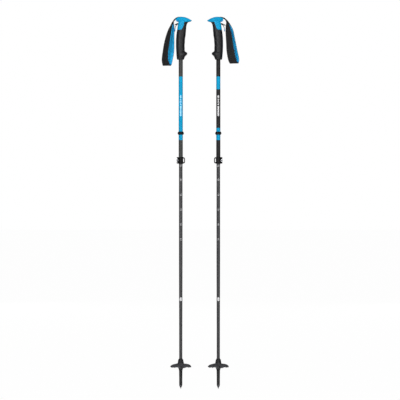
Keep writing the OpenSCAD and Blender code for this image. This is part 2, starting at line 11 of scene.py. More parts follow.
import bmesh
import bpy
import numpy as np
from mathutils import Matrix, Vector


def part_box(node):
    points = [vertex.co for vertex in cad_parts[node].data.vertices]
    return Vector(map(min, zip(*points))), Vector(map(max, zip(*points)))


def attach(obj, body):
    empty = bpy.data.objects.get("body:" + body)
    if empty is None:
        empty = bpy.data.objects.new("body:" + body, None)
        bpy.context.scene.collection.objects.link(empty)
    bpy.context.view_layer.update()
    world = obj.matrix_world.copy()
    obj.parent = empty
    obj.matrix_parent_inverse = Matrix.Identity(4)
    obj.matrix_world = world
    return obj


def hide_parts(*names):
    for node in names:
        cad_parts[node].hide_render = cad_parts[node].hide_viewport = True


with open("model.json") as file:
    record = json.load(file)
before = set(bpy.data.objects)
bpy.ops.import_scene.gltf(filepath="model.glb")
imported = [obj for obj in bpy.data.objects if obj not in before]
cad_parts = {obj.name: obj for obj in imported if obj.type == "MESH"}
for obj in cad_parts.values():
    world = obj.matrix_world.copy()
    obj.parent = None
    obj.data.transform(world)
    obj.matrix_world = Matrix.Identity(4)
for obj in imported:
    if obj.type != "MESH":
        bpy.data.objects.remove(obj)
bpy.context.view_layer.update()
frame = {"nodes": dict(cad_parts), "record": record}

MM = 0.001
TURN = {"left": 1.0, "right": -1.0}              # sign of a pole's u and v along X and Y
STRAP_SWING = {"left": 0.0, "right": 5.0}        # how far each strap's loop swings out
PLUS_V, MINUS_V = math.pi / 2, -math.pi / 2      # angles of the two sides of a tube

UPPER_OUTER = 7.0        # upper tube
UPPER_INNER = 6.1
UPPER_MOUTH = 757.2
UPPER_TOP = 1195
LOWER_TOP = 842


def pole_axis(side):
    low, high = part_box(side + "_upper_tube")
    return (low.x + high.x) / 2


AXIS = {side: pole_axis(side) for side in TURN}


# ---------------------------------------------------------------- objects

def pole_to_scene(side, points):
    points = np.asarray(points, float)
    turn = TURN[side]
    out = np.empty_like(points)
    out[:, 0] = AXIS[side] + turn * points[:, 0] * MM
    out[:, 1] = turn * points[:, 1] * MM
    out[:, 2] = points[:, 2] * MM
    return out


def add_object(name, data):
    ob = bpy.data.objects.new(name, data)
    bpy.context.scene.collection.objects.link(ob)
    return ob


def shade_smooth(mesh, sharp):
    """Smooth shading, broken at edges sharper than this angle in degrees."""
    mesh.polygons.foreach_set("use_smooth", [True] * len(mesh.polygons))
    mesh.set_sharp_from_angle(angle=math.radians(sharp))


def evaluated_mesh(ob):
    bpy.context.view_layer.update()
    depsgraph = bpy.context.evaluated_depsgraph_get()
    return bpy.data.meshes.new_from_object(ob.evaluated_get(depsgraph))


def apply_modifiers(ob):
    old = ob.data
    new = evaluated_mesh(ob)
    ob.modifiers.clear()
    ob.data = new
    bpy.data.meshes.remove(old)


def build(side, part, body, material, verts, faces, replaces=None, uv=None, sharp=38.0,
          recalc=True):
    """Makes one object of a pole from points in the pole's frame."""
    name = side + "_" + part
    mesh = bpy.data.meshes.new(name)
    mesh.from_pydata(pole_to_scene(side, verts).tolist(), [], [list(map(int, f)) for f in faces])
    mesh.materials.append(material)
    if uv is not None:
        layer = mesh.uv_layers.new(name="UVMap")
        corner_verts = np.empty(len(mesh.loops), np.int32)
        mesh.loops.foreach_get("vertex_index", corner_verts)
        layer.data.foreach_set("uv", np.asarray(uv, np.float32)[corner_verts].ravel())
    if recalc:
        bm = bmesh.new()
        bm.from_mesh(mesh)
        bmesh.ops.recalc_face_normals(bm, faces=bm.faces)
        bm.to_mesh(mesh)
        bm.free()
    shade_smooth(mesh, sharp)
    mesh.update()
    ob = add_object(name, mesh)
    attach(ob, side + "_" + body)
    if replaces:
        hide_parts(side + "_" + replaces)
    return ob


# --------------------------------------------------------------- geometry

def fillet(corners, cut=None, steps=4):
    """Rounds the corners of a closed polygon.

    The cut is how far from a corner its rounding starts. Without a shared cut, each corner
    carries its own as a third value.
    """
    out = []
    for i, corner in enumerate(corners):
        own_cut = corner[2] if cut is None else cut
        p = np.array(corner[:2], float)
        if own_cut <= 0:
            out.append(p)
            continue
        before = np.array(corners[i - 1][:2], float)
        after = np.array(corners[(i + 1) % len(corners)][:2], float)
        len_before, len_after = np.linalg.norm(before - p), np.linalg.norm(after - p)
        p1 = p + (before - p) / len_before * min(own_cut, 0.47 * len_before)
        p2 = p + (after - p) / len_after * min(own_cut, 0.47 * len_after)
        for k in range(steps + 1):
            t = k / steps
            out.append((1 - t) ** 2 * p1 + 2 * t * (1 - t) * p + t * t * p2)
    return out


def revolve(profile, around=96, wave=lambda r, z, t: r):
    """Closed surface of revolution of (radius, height) points.

    The profile starts and ends on the axis, or is a closed loop. The wave changes the radius
    with the angle t.
    """
    verts, rows, faces = [], [], []
    for r, z in profile:
        if r <= 1e-9:
            rows.append([len(verts)])
            verts.append((0.0, 0.0, z))
        else:
            rows.append(list(range(len(verts), len(verts) + around)))
            for i in range(around):
                t = 2 * math.pi * i / around
                rr = wave(r, z, t)
                verts.append((rr * math.cos(t), rr * math.sin(t), z))
    pairs = list(zip(rows, rows[1:]))
    if len(rows[0]) > 1 and len(rows[-1]) > 1:
        pairs.append((rows[-1], rows[0]))
    for row, following in pairs:
        for i in range(around):
            j = (i + 1) % around
            if len(row) == 1:
                faces.append((row[0], following[j], following[i]))
            elif len(following) == 1:
                faces.append((row[i], row[j], following[0]))
            else:
                faces.append((row[i], row[j], following[j], following[i]))
    return verts, faces


def band(a, b, count):
    """Quads between two closed rings whose first vertices are a and b."""
    i = np.arange(count)
    j = (i + 1) % count
    return np.stack([a + i, a + j, b + j, b + i], 1).tolist()


def skin(rings):
    """Skin over rings of equal point counts, capped at both ends by fans."""
    n = len(rings[0])
    last = (len(rings) - 1) * n
    faces = []
    for start in range(0, last, n):
        faces += band(start, start + n, n)
    verts = np.vstack(rings + [rings[0].mean(0), rings[-1].mean(0)])
    low_centre = last + n
    high_centre = low_centre + 1
    faces += [(low_centre, (i + 1) % n, i) for i in range(n)]
    faces += [(high_centre, last + i, last + (i + 1) % n) for i in range(n)]
    return verts, faces


def join(parts):
    """Several (verts, faces) pairs as one."""
    verts, faces, start = [], [], 0
    for part_verts, part_faces in parts:
        part_verts = np.asarray(part_verts, float)
        verts.append(part_verts)
        faces += [[x + start for x in face] for face in part_faces]
        start += len(part_verts)
    return np.vstack(verts), faces


def slopes(xs, ys):
    """Slopes at the points of a table that keep a cubic through it monotone."""
    steps = [(ys[i + 1] - ys[i]) / (xs[i + 1] - xs[i]) for i in range(len(xs) - 1)]
    inner = [0 if a * b <= 0 else 2 * a * b / (a + b) for a, b in zip(steps, steps[1:])]
    return [steps[0]] + inner + [steps[-1]]


def curve(x, table):
    """Monotone cubic through the (x, y) rows of a table, for a number or an array."""
    xs = np.array([row[0] for row in table])
    ys = np.array([row[1] for row in table])
    m = np.array(slopes(xs, ys))
    x = np.clip(np.asarray(x, float), xs[0], xs[-1])
    i = np.clip(np.searchsorted(xs, x, side="right") - 1, 0, len(xs) - 2)
    h = xs[i + 1] - xs[i]
    s = (x - xs[i]) / h
    return ((2 * s**3 - 3 * s**2 + 1) * ys[i] + (s**3 - 2 * s**2 + s) * m[i] * h
            + (3 * s**2 - 2 * s**3) * ys[i + 1] + (s**3 - s**2) * m[i + 1] * h)


def step(lo, hi, x):
    """Smooth step from 0 at lo to 1 at hi."""
    t = np.clip((np.asarray(x, float) - lo) / (hi - lo), 0, 1)
    return t * t * (3 - 2 * t)


# -------------------------------------------------------------- materials

def linear(hexa):
    """An sRGB hex colour as linear RGBA."""
    srgb = [int(hexa[i:i + 2], 16) / 255 for i in (0, 2, 4)]
    return tuple(x / 12.92 if x <= 0.04045 else ((x + 0.055) / 1.055) ** 2.4
                 for x in srgb) + (1.0,)


class Shader:
    """A material with one Principled BSDF, and short methods that add nodes before it."""

    def __init__(self, name, rough, metal=0.0, spec=0.5, sheen=0.0):
        self.mat = bpy.data.materials.new(name)
        self.mat.use_nodes = True
        self.tree = self.mat.node_tree
        self.surface = self.tree.nodes["Principled BSDF"].inputs
        self.surface["Roughness"].default_value = rough
        self.surface["Metallic"].default_value = metal
        self.surface["Specular IOR Level"].default_value = spec
        self.surface["Coat Roughness"].default_value = 0.12
        self.surface["Sheen Weight"].default_value = sheen
        self.surface["Sheen Roughness"].default_value = 0.5
        self.coords = self.tree.nodes.new("ShaderNodeTexCoord").outputs

    def feed(self, socket, value):
        """Links a socket, or sets a plain value."""
        if isinstance(value, bpy.types.NodeSocket):
            self.tree.links.new(value, socket)
        else:
            socket.default_value = value

    def add(self, kind, **inputs):
        node = self.tree.nodes.new("ShaderNode" + kind)
        for key, value in inputs.items():
            self.feed(node.inputs[key.replace("_", " ")], value)
        return node

    def split(self, coords):
        return self.add("SeparateXYZ", Vector=self.coords[coords]).outputs

    def math(self, operation, a, b=0.0, clamp=False):
        node = self.add("Math")
        node.operation = operation
        node.use_clamp = clamp
        self.feed(node.inputs[0], a)
        self.feed(node.inputs[1], b)
        return node.outputs[0]

    def inverse(self, x):
        return self.math("SUBTRACT", 1.0, x)

    def ramp(self, x, at, soft):
        """0 below at, 1 above it, blended over soft on either side."""
        node = self.add("MapRange", Value=x, From_Min=at - soft, From_Max=at + soft)
        node.interpolation_type = "SMOOTHSTEP"
        return node.outputs[0]

    def between(self, x, lo, hi, soft):
        """1 where lo < x < hi, with soft edges."""
        return self.math("MULTIPLY", self.ramp(x, lo, soft),
                         self.inverse(self.ramp(x, hi, soft)))

    def remap(self, x, lo, hi, to=(0.0, 1.0)):
        node = self.add("MapRange", Value=x, From_Min=lo, From_Max=hi, To_Min=to[0], To_Max=to[1])
        return node.outputs[0]

    def mix(self, factor, a, b):
        node = self.add("Mix")
        node.data_type = "RGBA"
        for index, value in ((0, factor), (6, a), (7, b)):
            self.feed(node.inputs[index], value)
        return node.outputs[2]

    def noise(self, scale, detail, rough=0.5, vector=None):
        if vector is None:
            vector = self.coords["Object"]
        return self.add("TexNoise", Scale=scale, Detail=detail, Roughness=rough,
                        Vector=vector).outputs["Fac"]

    def colour(self, socket):
        self.feed(self.surface["Base Color"], socket)

    def vary_rough(self, lo, hi, scale=140, detail=3, vector=None):
        noise = self.noise(scale, detail, vector=vector)
        self.feed(self.surface["Roughness"], self.remap(noise, lo=0.3, hi=0.7, to=(lo, hi)))

    def bump(self, height, strength, distance):
        """Distance is in metres."""
        node = self.add("Bump", Strength=strength, Distance=distance, Height=height)
        self.feed(self.surface["Normal"], node.outputs["Normal"])

    def edges(self, flat, edge, amount):
        """The flat colour, going towards the edge colour where the surface is pointed; here this
        paints a highlight along convex edges.
        """
        pointed = self.add("NewGeometry").outputs["Pointiness"]
        return self.mix(self.remap(pointed, lo=0.5, hi=0.56, to=(0.0, amount)), flat, edge)


def plastic(name, base, dark, light, rough=0.42, grain=0.25, spec=0.5, scale=900, metal=0.0,
            edge_highlight=0.5):
    """Grained plastic, rubber, metal or ink: base mottled with dark, and a painted highlight in
    the light colour along convex edges.
    """
    m = Shader(name, rough, metal=metal, spec=spec)
    mottle = m.remap(m.noise(scale=60, detail=4), lo=0.35, hi=0.65)
    tone = m.mix(mottle, linear(base), linear(dark))
    # convex edges painted lighter in the light colour, as a painted highlight
    m.colour(m.edges(tone, linear(light), edge_highlight))
    m.vary_rough(rough - 0.05, rough + 0.08)
    m.bump(m.noise(scale, detail=2), grain, distance=0.00012)
    return m.mat


def basket_material():
    """The heights that hold the dish are painted lighter than the rest of the hub: painted light
    on the dish's upward faces.
    """
    m = Shader("basket_plastic", rough=0.5, spec=0.22)
    z = m.split("Object")["Z"]
    # painted light: the band of heights that holds the dish
    lit_dish_band = m.between(z, lo=0.0665, hi=0.0856, soft=0.0006)
    mottle = m.remap(m.noise(scale=60, detail=4), lo=0.35, hi=0.65)
    # a lit copy of the plastic for the dish band, the plain copy for the rest of the hub
    tone = m.mix(lit_dish_band, m.mix(mottle, linear("171719"), linear("131315")),
                 m.mix(mottle, linear("464649"), linear("3f3f42")))
    # convex edges painted lighter, as a painted highlight
    m.colour(m.edges(tone, linear("5e5e62"), amount=0.4))
    m.vary_rough(0.46, 0.56)
    m.bump(m.noise(scale=1200, detail=2), strength=0.25, distance=0.00012)
    return m.mat


def upper_tube_material(side):
    """Paint: a long blue field on the -v side, two short blue bands on the +v side."""
    m = Shader("upper_tube_paint_" + side, rough=0.42, spec=0.1)
    place = m.split("Object")
    z, v = place["Z"], m.math("MULTIPLY", place["Y"], TURN[side])
    plus_v = m.ramp(v, at=0.0, soft=0.0001)
    field = m.between(z, lo=0.834, hi=1.047, soft=0.0001)
    gap = m.between(z, lo=0.8745, hi=1.0042, soft=0.0001)
    bands = m.math("MULTIPLY", field, m.inverse(gap))
    blue_mask = m.math("ADD", m.math("MULTIPLY", field, m.inverse(plus_v)),
                       m.math("MULTIPLY", bands, plus_v), clamp=True)
    mottle = m.remap(m.noise(scale=45, detail=3), lo=0.3, hi=0.7)
    grey = m.mix(mottle, linear("424443"), linear("3e403f"))
    black = m.mix(mottle, linear("272728"), linear("232324"))
    blue = m.mix(mottle, linear("0298c6"), linear("0192bf"))
    m.colour(m.mix(blue_mask, m.mix(plus_v, grey, black), blue))
    m.vary_rough(0.4, 0.45, scale=220)
    m.bump(m.noise(scale=2600, detail=2), strength=0.03, distance=0.00006)
    return m.mat


def lower_tube_material(side):
    """Anodised metal, drawn along its length and slightly darker on the +v side."""
    m = Shader("lower_tube_anodised_" + side, rough=0.4, metal=0.06, spec=0.12)
    v = m.math("MULTIPLY", m.split("Object")["Y"], TURN[side])
    plus_v = m.ramp(v, at=0.0, soft=0.002)
    mottle = m.remap(m.noise(scale=40, detail=3), lo=0.3, hi=0.7)
    minus_tone = m.mix(mottle, linear("464647"), linear("424243"))
    plus_tone = m.mix(mottle, linear("424243"), linear("3e3e40"))
    m.colour(m.mix(plus_v, minus_tone, plus_tone))
    drawn = m.add("Mapping", Vector=m.coords["Object"], Scale=(1.0, 1.0, 0.02)).outputs[0]
    m.vary_rough(0.33, 0.41, scale=900, detail=2, vector=drawn)
    m.bump(m.noise(scale=2400, detail=2, vector=drawn), strength=0.03, distance=0.00006)
    return m.mat


def weave(name, base, dark, pitch_u, pitch_v, rough=0.78, strength=0.6, sheen=0.35, edge=None,
          shaded_edge_at=None):
    """Woven webbing. The UV map is in millimetres: across the strip, and along it.

    A darker edge colour, painted shade where the strip's sides curve away, takes over further
    than the given distance from the middle of the strip.
    """
    m = Shader(name, rough, spec=0.3, sheen=sheen)
    place = m.split("UV")
    across, along = place["X"], place["Y"]
    wave_u = m.math("SINE", m.math("MULTIPLY", across, 2 * math.pi / pitch_u))
    wave_v = m.math("SINE", m.math("MULTIPLY", along, 2 * math.pi / pitch_v))
    cells = m.math("MULTIPLY", wave_u, wave_v)
    ribs = m.math("ADD", m.math("MULTIPLY", cells, 0.5),
                  m.math("MULTIPLY", m.math("ABSOLUTE", wave_u), 0.5))
    fibre = m.noise(scale=3.0, detail=4, rough=0.6, vector=m.coords["UV"])
    height = m.math("ADD", ribs, m.math("MULTIPLY", fibre, 0.5))
    tone = m.mix(m.remap(height, lo=-0.5, hi=1.2), linear(dark), linear(base))
    # painted shade: the strip's sides go over to the darker edge colour
    if edge:
        from_middle = m.math("ABSOLUTE", across)
        tone = m.mix(m.ramp(from_middle, at=shaded_edge_at, soft=0.25), tone, linear(edge))
    m.colour(tone)
    m.bump(height, strength, distance=0.00018)
    return m.mat


# For the plastics, the third colour is a painted highlight that plastic() lays along convex
# edges.
MAT = {
    "grip": plastic("grip_rubber", "18181a", "141416", "2a2a2e", rough=0.46, grain=0.4,
                    spec=0.26, scale=2600),
    "head": plastic("head_plastic", "0498c8", "0290c0", "24b2dc", rough=0.42, grain=0.12,
                    spec=0.12, scale=1500, edge_highlight=0.3),
    "wedge": plastic("wedge_plastic", "0a86c4", "087cb8", "2aa4e2", rough=0.4, grain=0.15),
    "pin": plastic("pin_steel", "4a4c50", "424448", "707278", rough=0.4, grain=0.1, metal=0.8),
    "screw": plastic("screw_dark_steel", "55575a", "4a4c4f", "8a8c90", rough=0.36, grain=0.1,
                     metal=0.9, scale=2200),
    "steel": plastic("hardware_steel", "b9bbbf", "a9abaf", "dcdde0", rough=0.28, grain=0.1,
                     metal=1.0, scale=2200),
    "ring": plastic("ring_rubber", "08090a", "060708", "1a1c1e", rough=0.5, grain=0.4,
                    spec=0.3, scale=2400),
    "lock": plastic("lock_plastic", "060607", "050506", "141416", rough=0.45, grain=0.3,
                    spec=0.12, scale=2000),
    "lever": plastic("lever_plastic", "070708", "060607", "18181a", rough=0.42, spec=0.14,
                     scale=2000),
    "bushing": plastic("bushing_plastic", "1a1a1c", "161618", "38383a", rough=0.5, grain=0.2),
    "ferrule": plastic("ferrule_plastic", "151516", "111112", "303032", spec=0.35, scale=1800),
    "basket": basket_material(),
    "tip": plastic("tip_metal", "55565a", "434448", "8e8f94", rough=0.33, metal=0.9,
                   scale=1800),
    "ink": plastic("light_ink", "d4d4d6", "c8c8ca", "e0e0e2", rough=0.5, grain=0.1, edge_highlight=0.0),
    "ink_blue": plastic("light_ink_on_blue", "96d8fa", "84ccf2", "a6e2ff", rough=0.45,
                        grain=0.1, edge_highlight=0.0),
    "thread": plastic("stitch_thread", "3c3c3f", "303033", "5a5a5e", rough=0.7, grain=0.3),
    "thread_blue": plastic("stitch_thread_blue", "1d86c8", "1878b6", "3aa0e0", rough=0.7,
                           grain=0.3),
    "webbing": weave("strap_webbing_weave", "1a1a1b", "0e0e0f", pitch_u=1.5, pitch_v=1.3,
                     sheen=0.03),
    # the lining's sides are painted darker, as painted shade where they curve away
    "lining": weave("strap_lining_mesh", "24bcee", "109fdc", pitch_u=1.1, pitch_v=1.1,
                    rough=0.7, strength=0.5, sheen=0.1, edge="1273b8", shaded_edge_at=12.6),
    "tail": weave("strap_tail_end", "2a8fc8", "1b6fa6", pitch_u=1.1, pitch_v=1.1, rough=0.7,
                  strength=0.5),
}

# ---------------------------------------------------------- grip and head
# The rubber grip and the plastic head share one outer surface. A border splits it: the head's
# tongue lies behind and above the border, the rubber lies in front and below. Each material
# sinks under the other on the far side of the border.

# (z, value) rows: u of the front, u of the rear, half width, and squareness of the section
GRIP_FRONT = [[1104, 10.4], [1108, 11.4], [1112, 12.2], [1117, 12.9], [1124, 13.2], [1136, 13.1],
              [1150, 13.2], [1163, 13.6], [1183, 15.8], [1195, 17.2], [1208, 18.2], [1216, 19.0],
              [1224, 21.0], [1229.5, 25]]
GRIP_REAR = [[1104, -12.6], [1110, -13.6], [1122, -14.6], [1135, -15.4], [1150, -16], [1165, -16],
             [1183, -15], [1195, -13.6], [1204, -12.2], [1216, -10.4], [1229.5, -9]]
GRIP_HALF = [[1104, 11.2], [1110, 12.4], [1123, 13.2], [1145, 13.6], [1170, 13.6], [1200, 13.4],
             [1215, 13.2], [1229.5, 13.6]]
GRIP_SQUARE = [[1104, 2.2], [1180, 2.3], [1204, 2.6], [1216, 2.9], [1229.5, 3]]
HEAD_FRONT = [[1229.5, 25.4], [1230.3, 28.6], [1231.2, 32.0], [1232.4, 35.2], [1233.6, 36.8],
              [1234.6, 37], [1235.8, 36.2], [1237.6, 33.8], [1239.6, 30.6], [1241.6, 26.8],
              [1243.4, 22.6], [1245, 18.4], [1246.3, 14], [1247.1, 10], [1247.6, 5]]
HEAD_REAR = [[1229.5, -9.4], [1231, -10.6], [1233, -13.2], [1235, -15.8], [1237, -17.4],
             [1239, -17.9], [1241, -17.3], [1243, -15.6], [1244.6, -13], [1246, -9.6],
             [1246.8, -6.8], [1247.3, -4.4], [1247.6, -2.4]]
HEAD_HALF = [[1229.5, 13.7], [1232, 13.9], [1234, 14.3], [1236, 15.0], [1237.6, 15.6],
             [1239, 15.7], [1240.6, 15.2], [1242.4, 14], [1244, 12.4], [1245.6, 10],
             [1246.7, 7.4], [1247.3, 5.2], [1247.6, 3.2]]
HEAD_SQUARE = 2.55
HEAD_TAPER = 0.36        # share by which the head narrows towards its front
NECK = 1229.5            # height where the grip's section hands over to the head's

# (u, z) points along the border, from the rear up to the front
BORDER = [(-40, 1202.9), (-11, 1203.0), (-3, 1203.1), (1, 1203.5), (3.6, 1204.6), (5.6, 1207),
          (7.0, 1210.4), (8.3, 1214), (10.0, 1219.0), (11.6, 1223.6), (13.1, 1227.5),
          (14.1, 1229.9), (15, 1234)]
BORDER_U = [u for u, z in BORDER]
BORDER_Z = [z for u, z in BORDER]
SINK = 1.35              # how deep a surface goes under the other material
SINK_SOFT = 0.12         # half width of its shoulder
SINK_GAP = 0.14          # distance from the border to the middle of the shoulder

# (inset, z) of the rings that round the grip's bottom edge
GRIP_BOTTOM = [(2.2, 1104.0), (1.3, 1104.06), (0.6, 1104.35), (0.2, 1104.85), (0.0, 1105.5)]
# ring heights that grip and head share along the border, close together where it runs level
BORDER_RINGS = list(np.arange(1202.5, 1207.2, 0.16)) + list(np.arange(1207.4, 1228.9, 0.7))
HEAD_RINGS = [1229.5, 1229.75, 1230.1, 1230.5, 1230.9, 1231.3, 1231.7, 1232.1, 1232.5, 1232.9,
              1233.3, 1233.7, 1234.1, 1234.5, 1234.9, 1235.3, 1235.8, 1236.4, 1237, 1237.6,
              1238.2, 1238.8, 1239.4, 1240.2, 1241, 1241.8, 1242.6, 1243.3, 1244, 1244.6,
              1245.2, 1245.7, 1246.2, 1246.6, 1246.9, 1247.1, 1247.3, 1247.42, 1247.5,
              1247.56, 1247.6]

# (u, z) outline of the slot for the webbing, open at the rear
CAVITY = [[-34, 1220.9], [-11, 1221.4], [-5.7, 1222.6], [-0.5, 1224.2], [4.1, 1226.8],
          [7.1, 1230.6], [7.9, 1235.2], [7, 1239.8], [3.9, 1243.7], [-0.8, 1246.5],
          [-4.2, 1247.3], [-5.4, 1250], [-5.4, 1258], [-34, 1258]]
CAVITY_HALF = 8.2


def section(theta, front, rear, half, square, taper=0.0):
    """A superellipse from rear to front: its u, its v and the u of its middle."""
    c, s = np.cos(theta), np.sin(theta)
    mid = (front + rear) / 2
    u = mid + (front - rear) / 2 * np.sign(c) * np.abs(c) ** (2 / square)
    v = half * np.sign(s) * np.abs(s) ** (2 / square) * (1 - taper * np.maximum(0, c) ** 1.4)
    return u, v, mid


def border_distance(u, z):
    """Distance to the border, positive on the tongue's side (rear and above)."""
    best = np.full(np.shape(u), 1e9)
    for (u0, z0), (u1, z1) in zip(BORDER, BORDER[1:]):
        du, dz = u1 - u0, z1 - z0
        t = np.clip(((u - u0) * du + (z - z0) * dz) / (du * du + dz * dz), 0, 1)
        best = np.minimum(best, np.hypot(u - u0 - t * du, z - z0 - t * dz))
    z_at_u = np.interp(u, BORDER_U, BORDER_Z)
    u_at_z = np.interp(z, BORDER_Z, BORDER_U)
    inside = (z > z_at_u) | ((u < u_at_z) & (z > 1203.2))
    return np.where(inside, best, -best)


def border_angle(z):
    """Section angle at which the border crosses a height, held inside its steep part."""
    z = min(max(z, 1206.6), 1229.9)
    u = np.interp(z, BORDER_Z, BORDER_U)
    front, rear = curve(z, GRIP_FRONT), curve(z, GRIP_REAR)
    square = curve(z, GRIP_SQUARE)
    x = (u - (front + rear) / 2) / ((front - rear) / 2)
    return float(np.arccos(np.clip(np.sign(x) * abs(x) ** (square / 2), -1, 1)))


def columns(z, front_count=44, rear_count=56):
    """Angles of the grid columns at a height, with a tight group of them along the border."""
    border = border_angle(z)
    near = 0.3 / 15
    half = np.concatenate([
        np.linspace(0, border - 2 * near, front_count),
        [border - near, border - near / 3, border + near / 3, border + near],
        np.linspace(border + 2 * near, math.pi, rear_count)])
    return np.concatenate([half, 2 * math.pi - half[-2:0:-1]])


def grip_relief(u, v, z, angle):
    """How far the grip's details stand out from its plain section."""
    around = 1 - np.cos(angle)           # 0 at the front, 2 at the rear
    # a ledge at the front, whose crest slopes down round the sides
    over = z - (1124.2 - 3.6 * around)
    above = 1 / (1 + (np.abs(over) / 5.3) ** 4.6)
    below = 1 / (1 + (np.abs(over) / 7.0) ** 3)
    front_reach = 7.0 * np.exp(-(angle / math.radians(38)) ** 2)
    side_reach = 1.7 * np.exp(-(angle / math.radians(88)) ** 4)
    lift = np.where(over > 0, above, below) * (front_reach + side_reach)
    # two creases that wrap the skirt below the ledge
    for crease_z, depth in ((1112.6, 0.45), (1108.6, 0.4)):
        lift -= depth * np.exp(-((z - crease_z - 0.8 * around) / 0.55) ** 2)
    # a shallow wave up the front, between the ledge and the tongue
    ends = float(step(1134, 1142, z) * (1 - step(1186, 1200, z)))
    lift += 0.25 * np.sin((z - 1136) / 22 * 2 * math.pi) * np.exp(-(angle / 1.1) ** 2) * ends
    # a low oval swell on both flanks, beside the ledge
    lift += 0.7 * np.exp(-((u - 4.2) / 4.6) ** 2 - ((z - 1126) / 2.4) ** 2) * (np.abs(v) > 6)
    return lift


def grip_ring(z, inset=0.0, sink=None):
    """One ring of the grip's surface. sink turns the border distance into an offset."""
    theta = columns(z)
    u, v, mid = section(theta, curve(z, GRIP_FRONT), curve(z, GRIP_REAR), curve(z, GRIP_HALF),
                        curve(z, GRIP_SQUARE))
    lift = grip_relief(u, v, z, np.arctan2(v, u - mid))
    if sink is not None:
        lift = lift + sink(border_distance(u, z))
    lift = lift - inset
    r = np.hypot(u - mid, v)
    k = (r + lift) / np.maximum(r, 1e-6)
    return np.stack([mid + (u - mid) * k, v * k, np.full_like(u, z)], 1)


def head_ring(z):
    u, v, _ = section(columns(NECK), curve(z, HEAD_FRONT), curve(z, HEAD_REAR),
                      curve(z, HEAD_HALF), HEAD_SQUARE, HEAD_TAPER)
    return np.stack([u, v, np.full_like(u, z)], 1)


def circle_ring(r, z):
    theta = columns(z)
    return np.stack([r * np.cos(theta), r * np.sin(theta), np.full_like(theta, z)], 1)


def at_height(ring, z):
    ring[:, 2] = z
    return ring


def grip_sink(distance):
    return -SINK * step(-SINK_SOFT, SINK_SOFT, distance + SINK_GAP)


def head_sink(distance):
    return -SINK * (1 - step(-SINK_SOFT, SINK_SOFT, distance - SINK_GAP))


def make_grip(side):
    bore = UPPER_OUTER + 0.06
    rings = [circle_ring(bore, 1195.6), circle_ring(bore, 1105.2), circle_ring(7.5, 1104.3)]
    edge_z = GRIP_BOTTOM[-1][1]
    rings += [at_height(grip_ring(edge_z, inset), z) for inset, z in GRIP_BOTTOM]
    heights = list(np.arange(1106, 1134, 0.5)) + list(np.arange(1134, 1200, 1.4)) \
        + list(np.arange(1200.2, 1202.4, 0.4)) + BORDER_RINGS + [1229.2]
    rings += [grip_ring(z, sink=grip_sink) for z in heights]
    rings.append(at_height(grip_ring(1229.2, 1.0, grip_sink), 1229.45))
    verts, faces = skin(rings)
    build(side, "grip_rubber", "upper", MAT["grip"], verts, faces, "grip",
          sharp=60)


def carve_head(side):
    """Builds the head shell and cuts the webbing slot out of it."""
    rings = [grip_ring(1201.0, 1.5)]
    rings += [grip_ring(z, 1.4) for z in np.arange(1201.4, 1202.4, 0.3)]
    rings += [grip_ring(z, sink=head_sink) for z in BORDER_RINGS + [1229.1, 1229.4]]
    rings += [head_ring(z) for z in HEAD_RINGS]
    verts, faces = skin(rings)
    ob = build(side, "head_shell", "upper", MAT["head"], verts, faces,
               "grip_head", sharp=60)
    outline = fillet(CAVITY, cut=1.2)
    verts, faces = skin([np.array([[p[0], v, p[1]] for p in outline])
                         for v in (-CAVITY_HALF, CAVITY_HALF)])
    cutter = build(side, "slot_cutter", "upper", MAT["head"], verts, faces)
    mod = ob.modifiers.new("slot", "BOOLEAN")
    mod.operation = "DIFFERENCE"
    mod.solver = "EXACT"
    mod.use_self = True
    mod.object = cutter
    apply_modifiers(ob)
    bpy.data.objects.remove(cutter)
    shade_smooth(ob.data, 42)
    return ob.data


def pole_shape(side, mesh):
    """A finished mesh as (verts, faces) in the pole's frame."""
    co = np.empty(len(mesh.vertices) * 3)
    mesh.vertices.foreach_get("co", co)
    co = co.reshape(-1, 3)
    turn = TURN[side]
    verts = np.stack([(co[:, 0] - AXIS[side]) / MM * turn, co[:, 1] / MM * turn,
                      co[:, 2] / MM], 1)
    return verts, [tuple(face.vertices) for face in mesh.polygons]


def make_head(side, shape):
    """Carves the first head, and copies the next from its shape."""
    if shape is None:
        return pole_shape(side, carve_head(side))
    verts, faces = shape
    build(side, "head_shell", "upper", MAT["head"], verts, faces, "grip_head",
          sharp=42, recalc=False)
    return shape


# ------------------------------------------------------------------ strap
# The webbing comes out of the slot, goes round the wedge as the inner ply, down the +v leg of
# the loop, up the -v leg, over the wedge as the outer ply and out under it as the free tail.

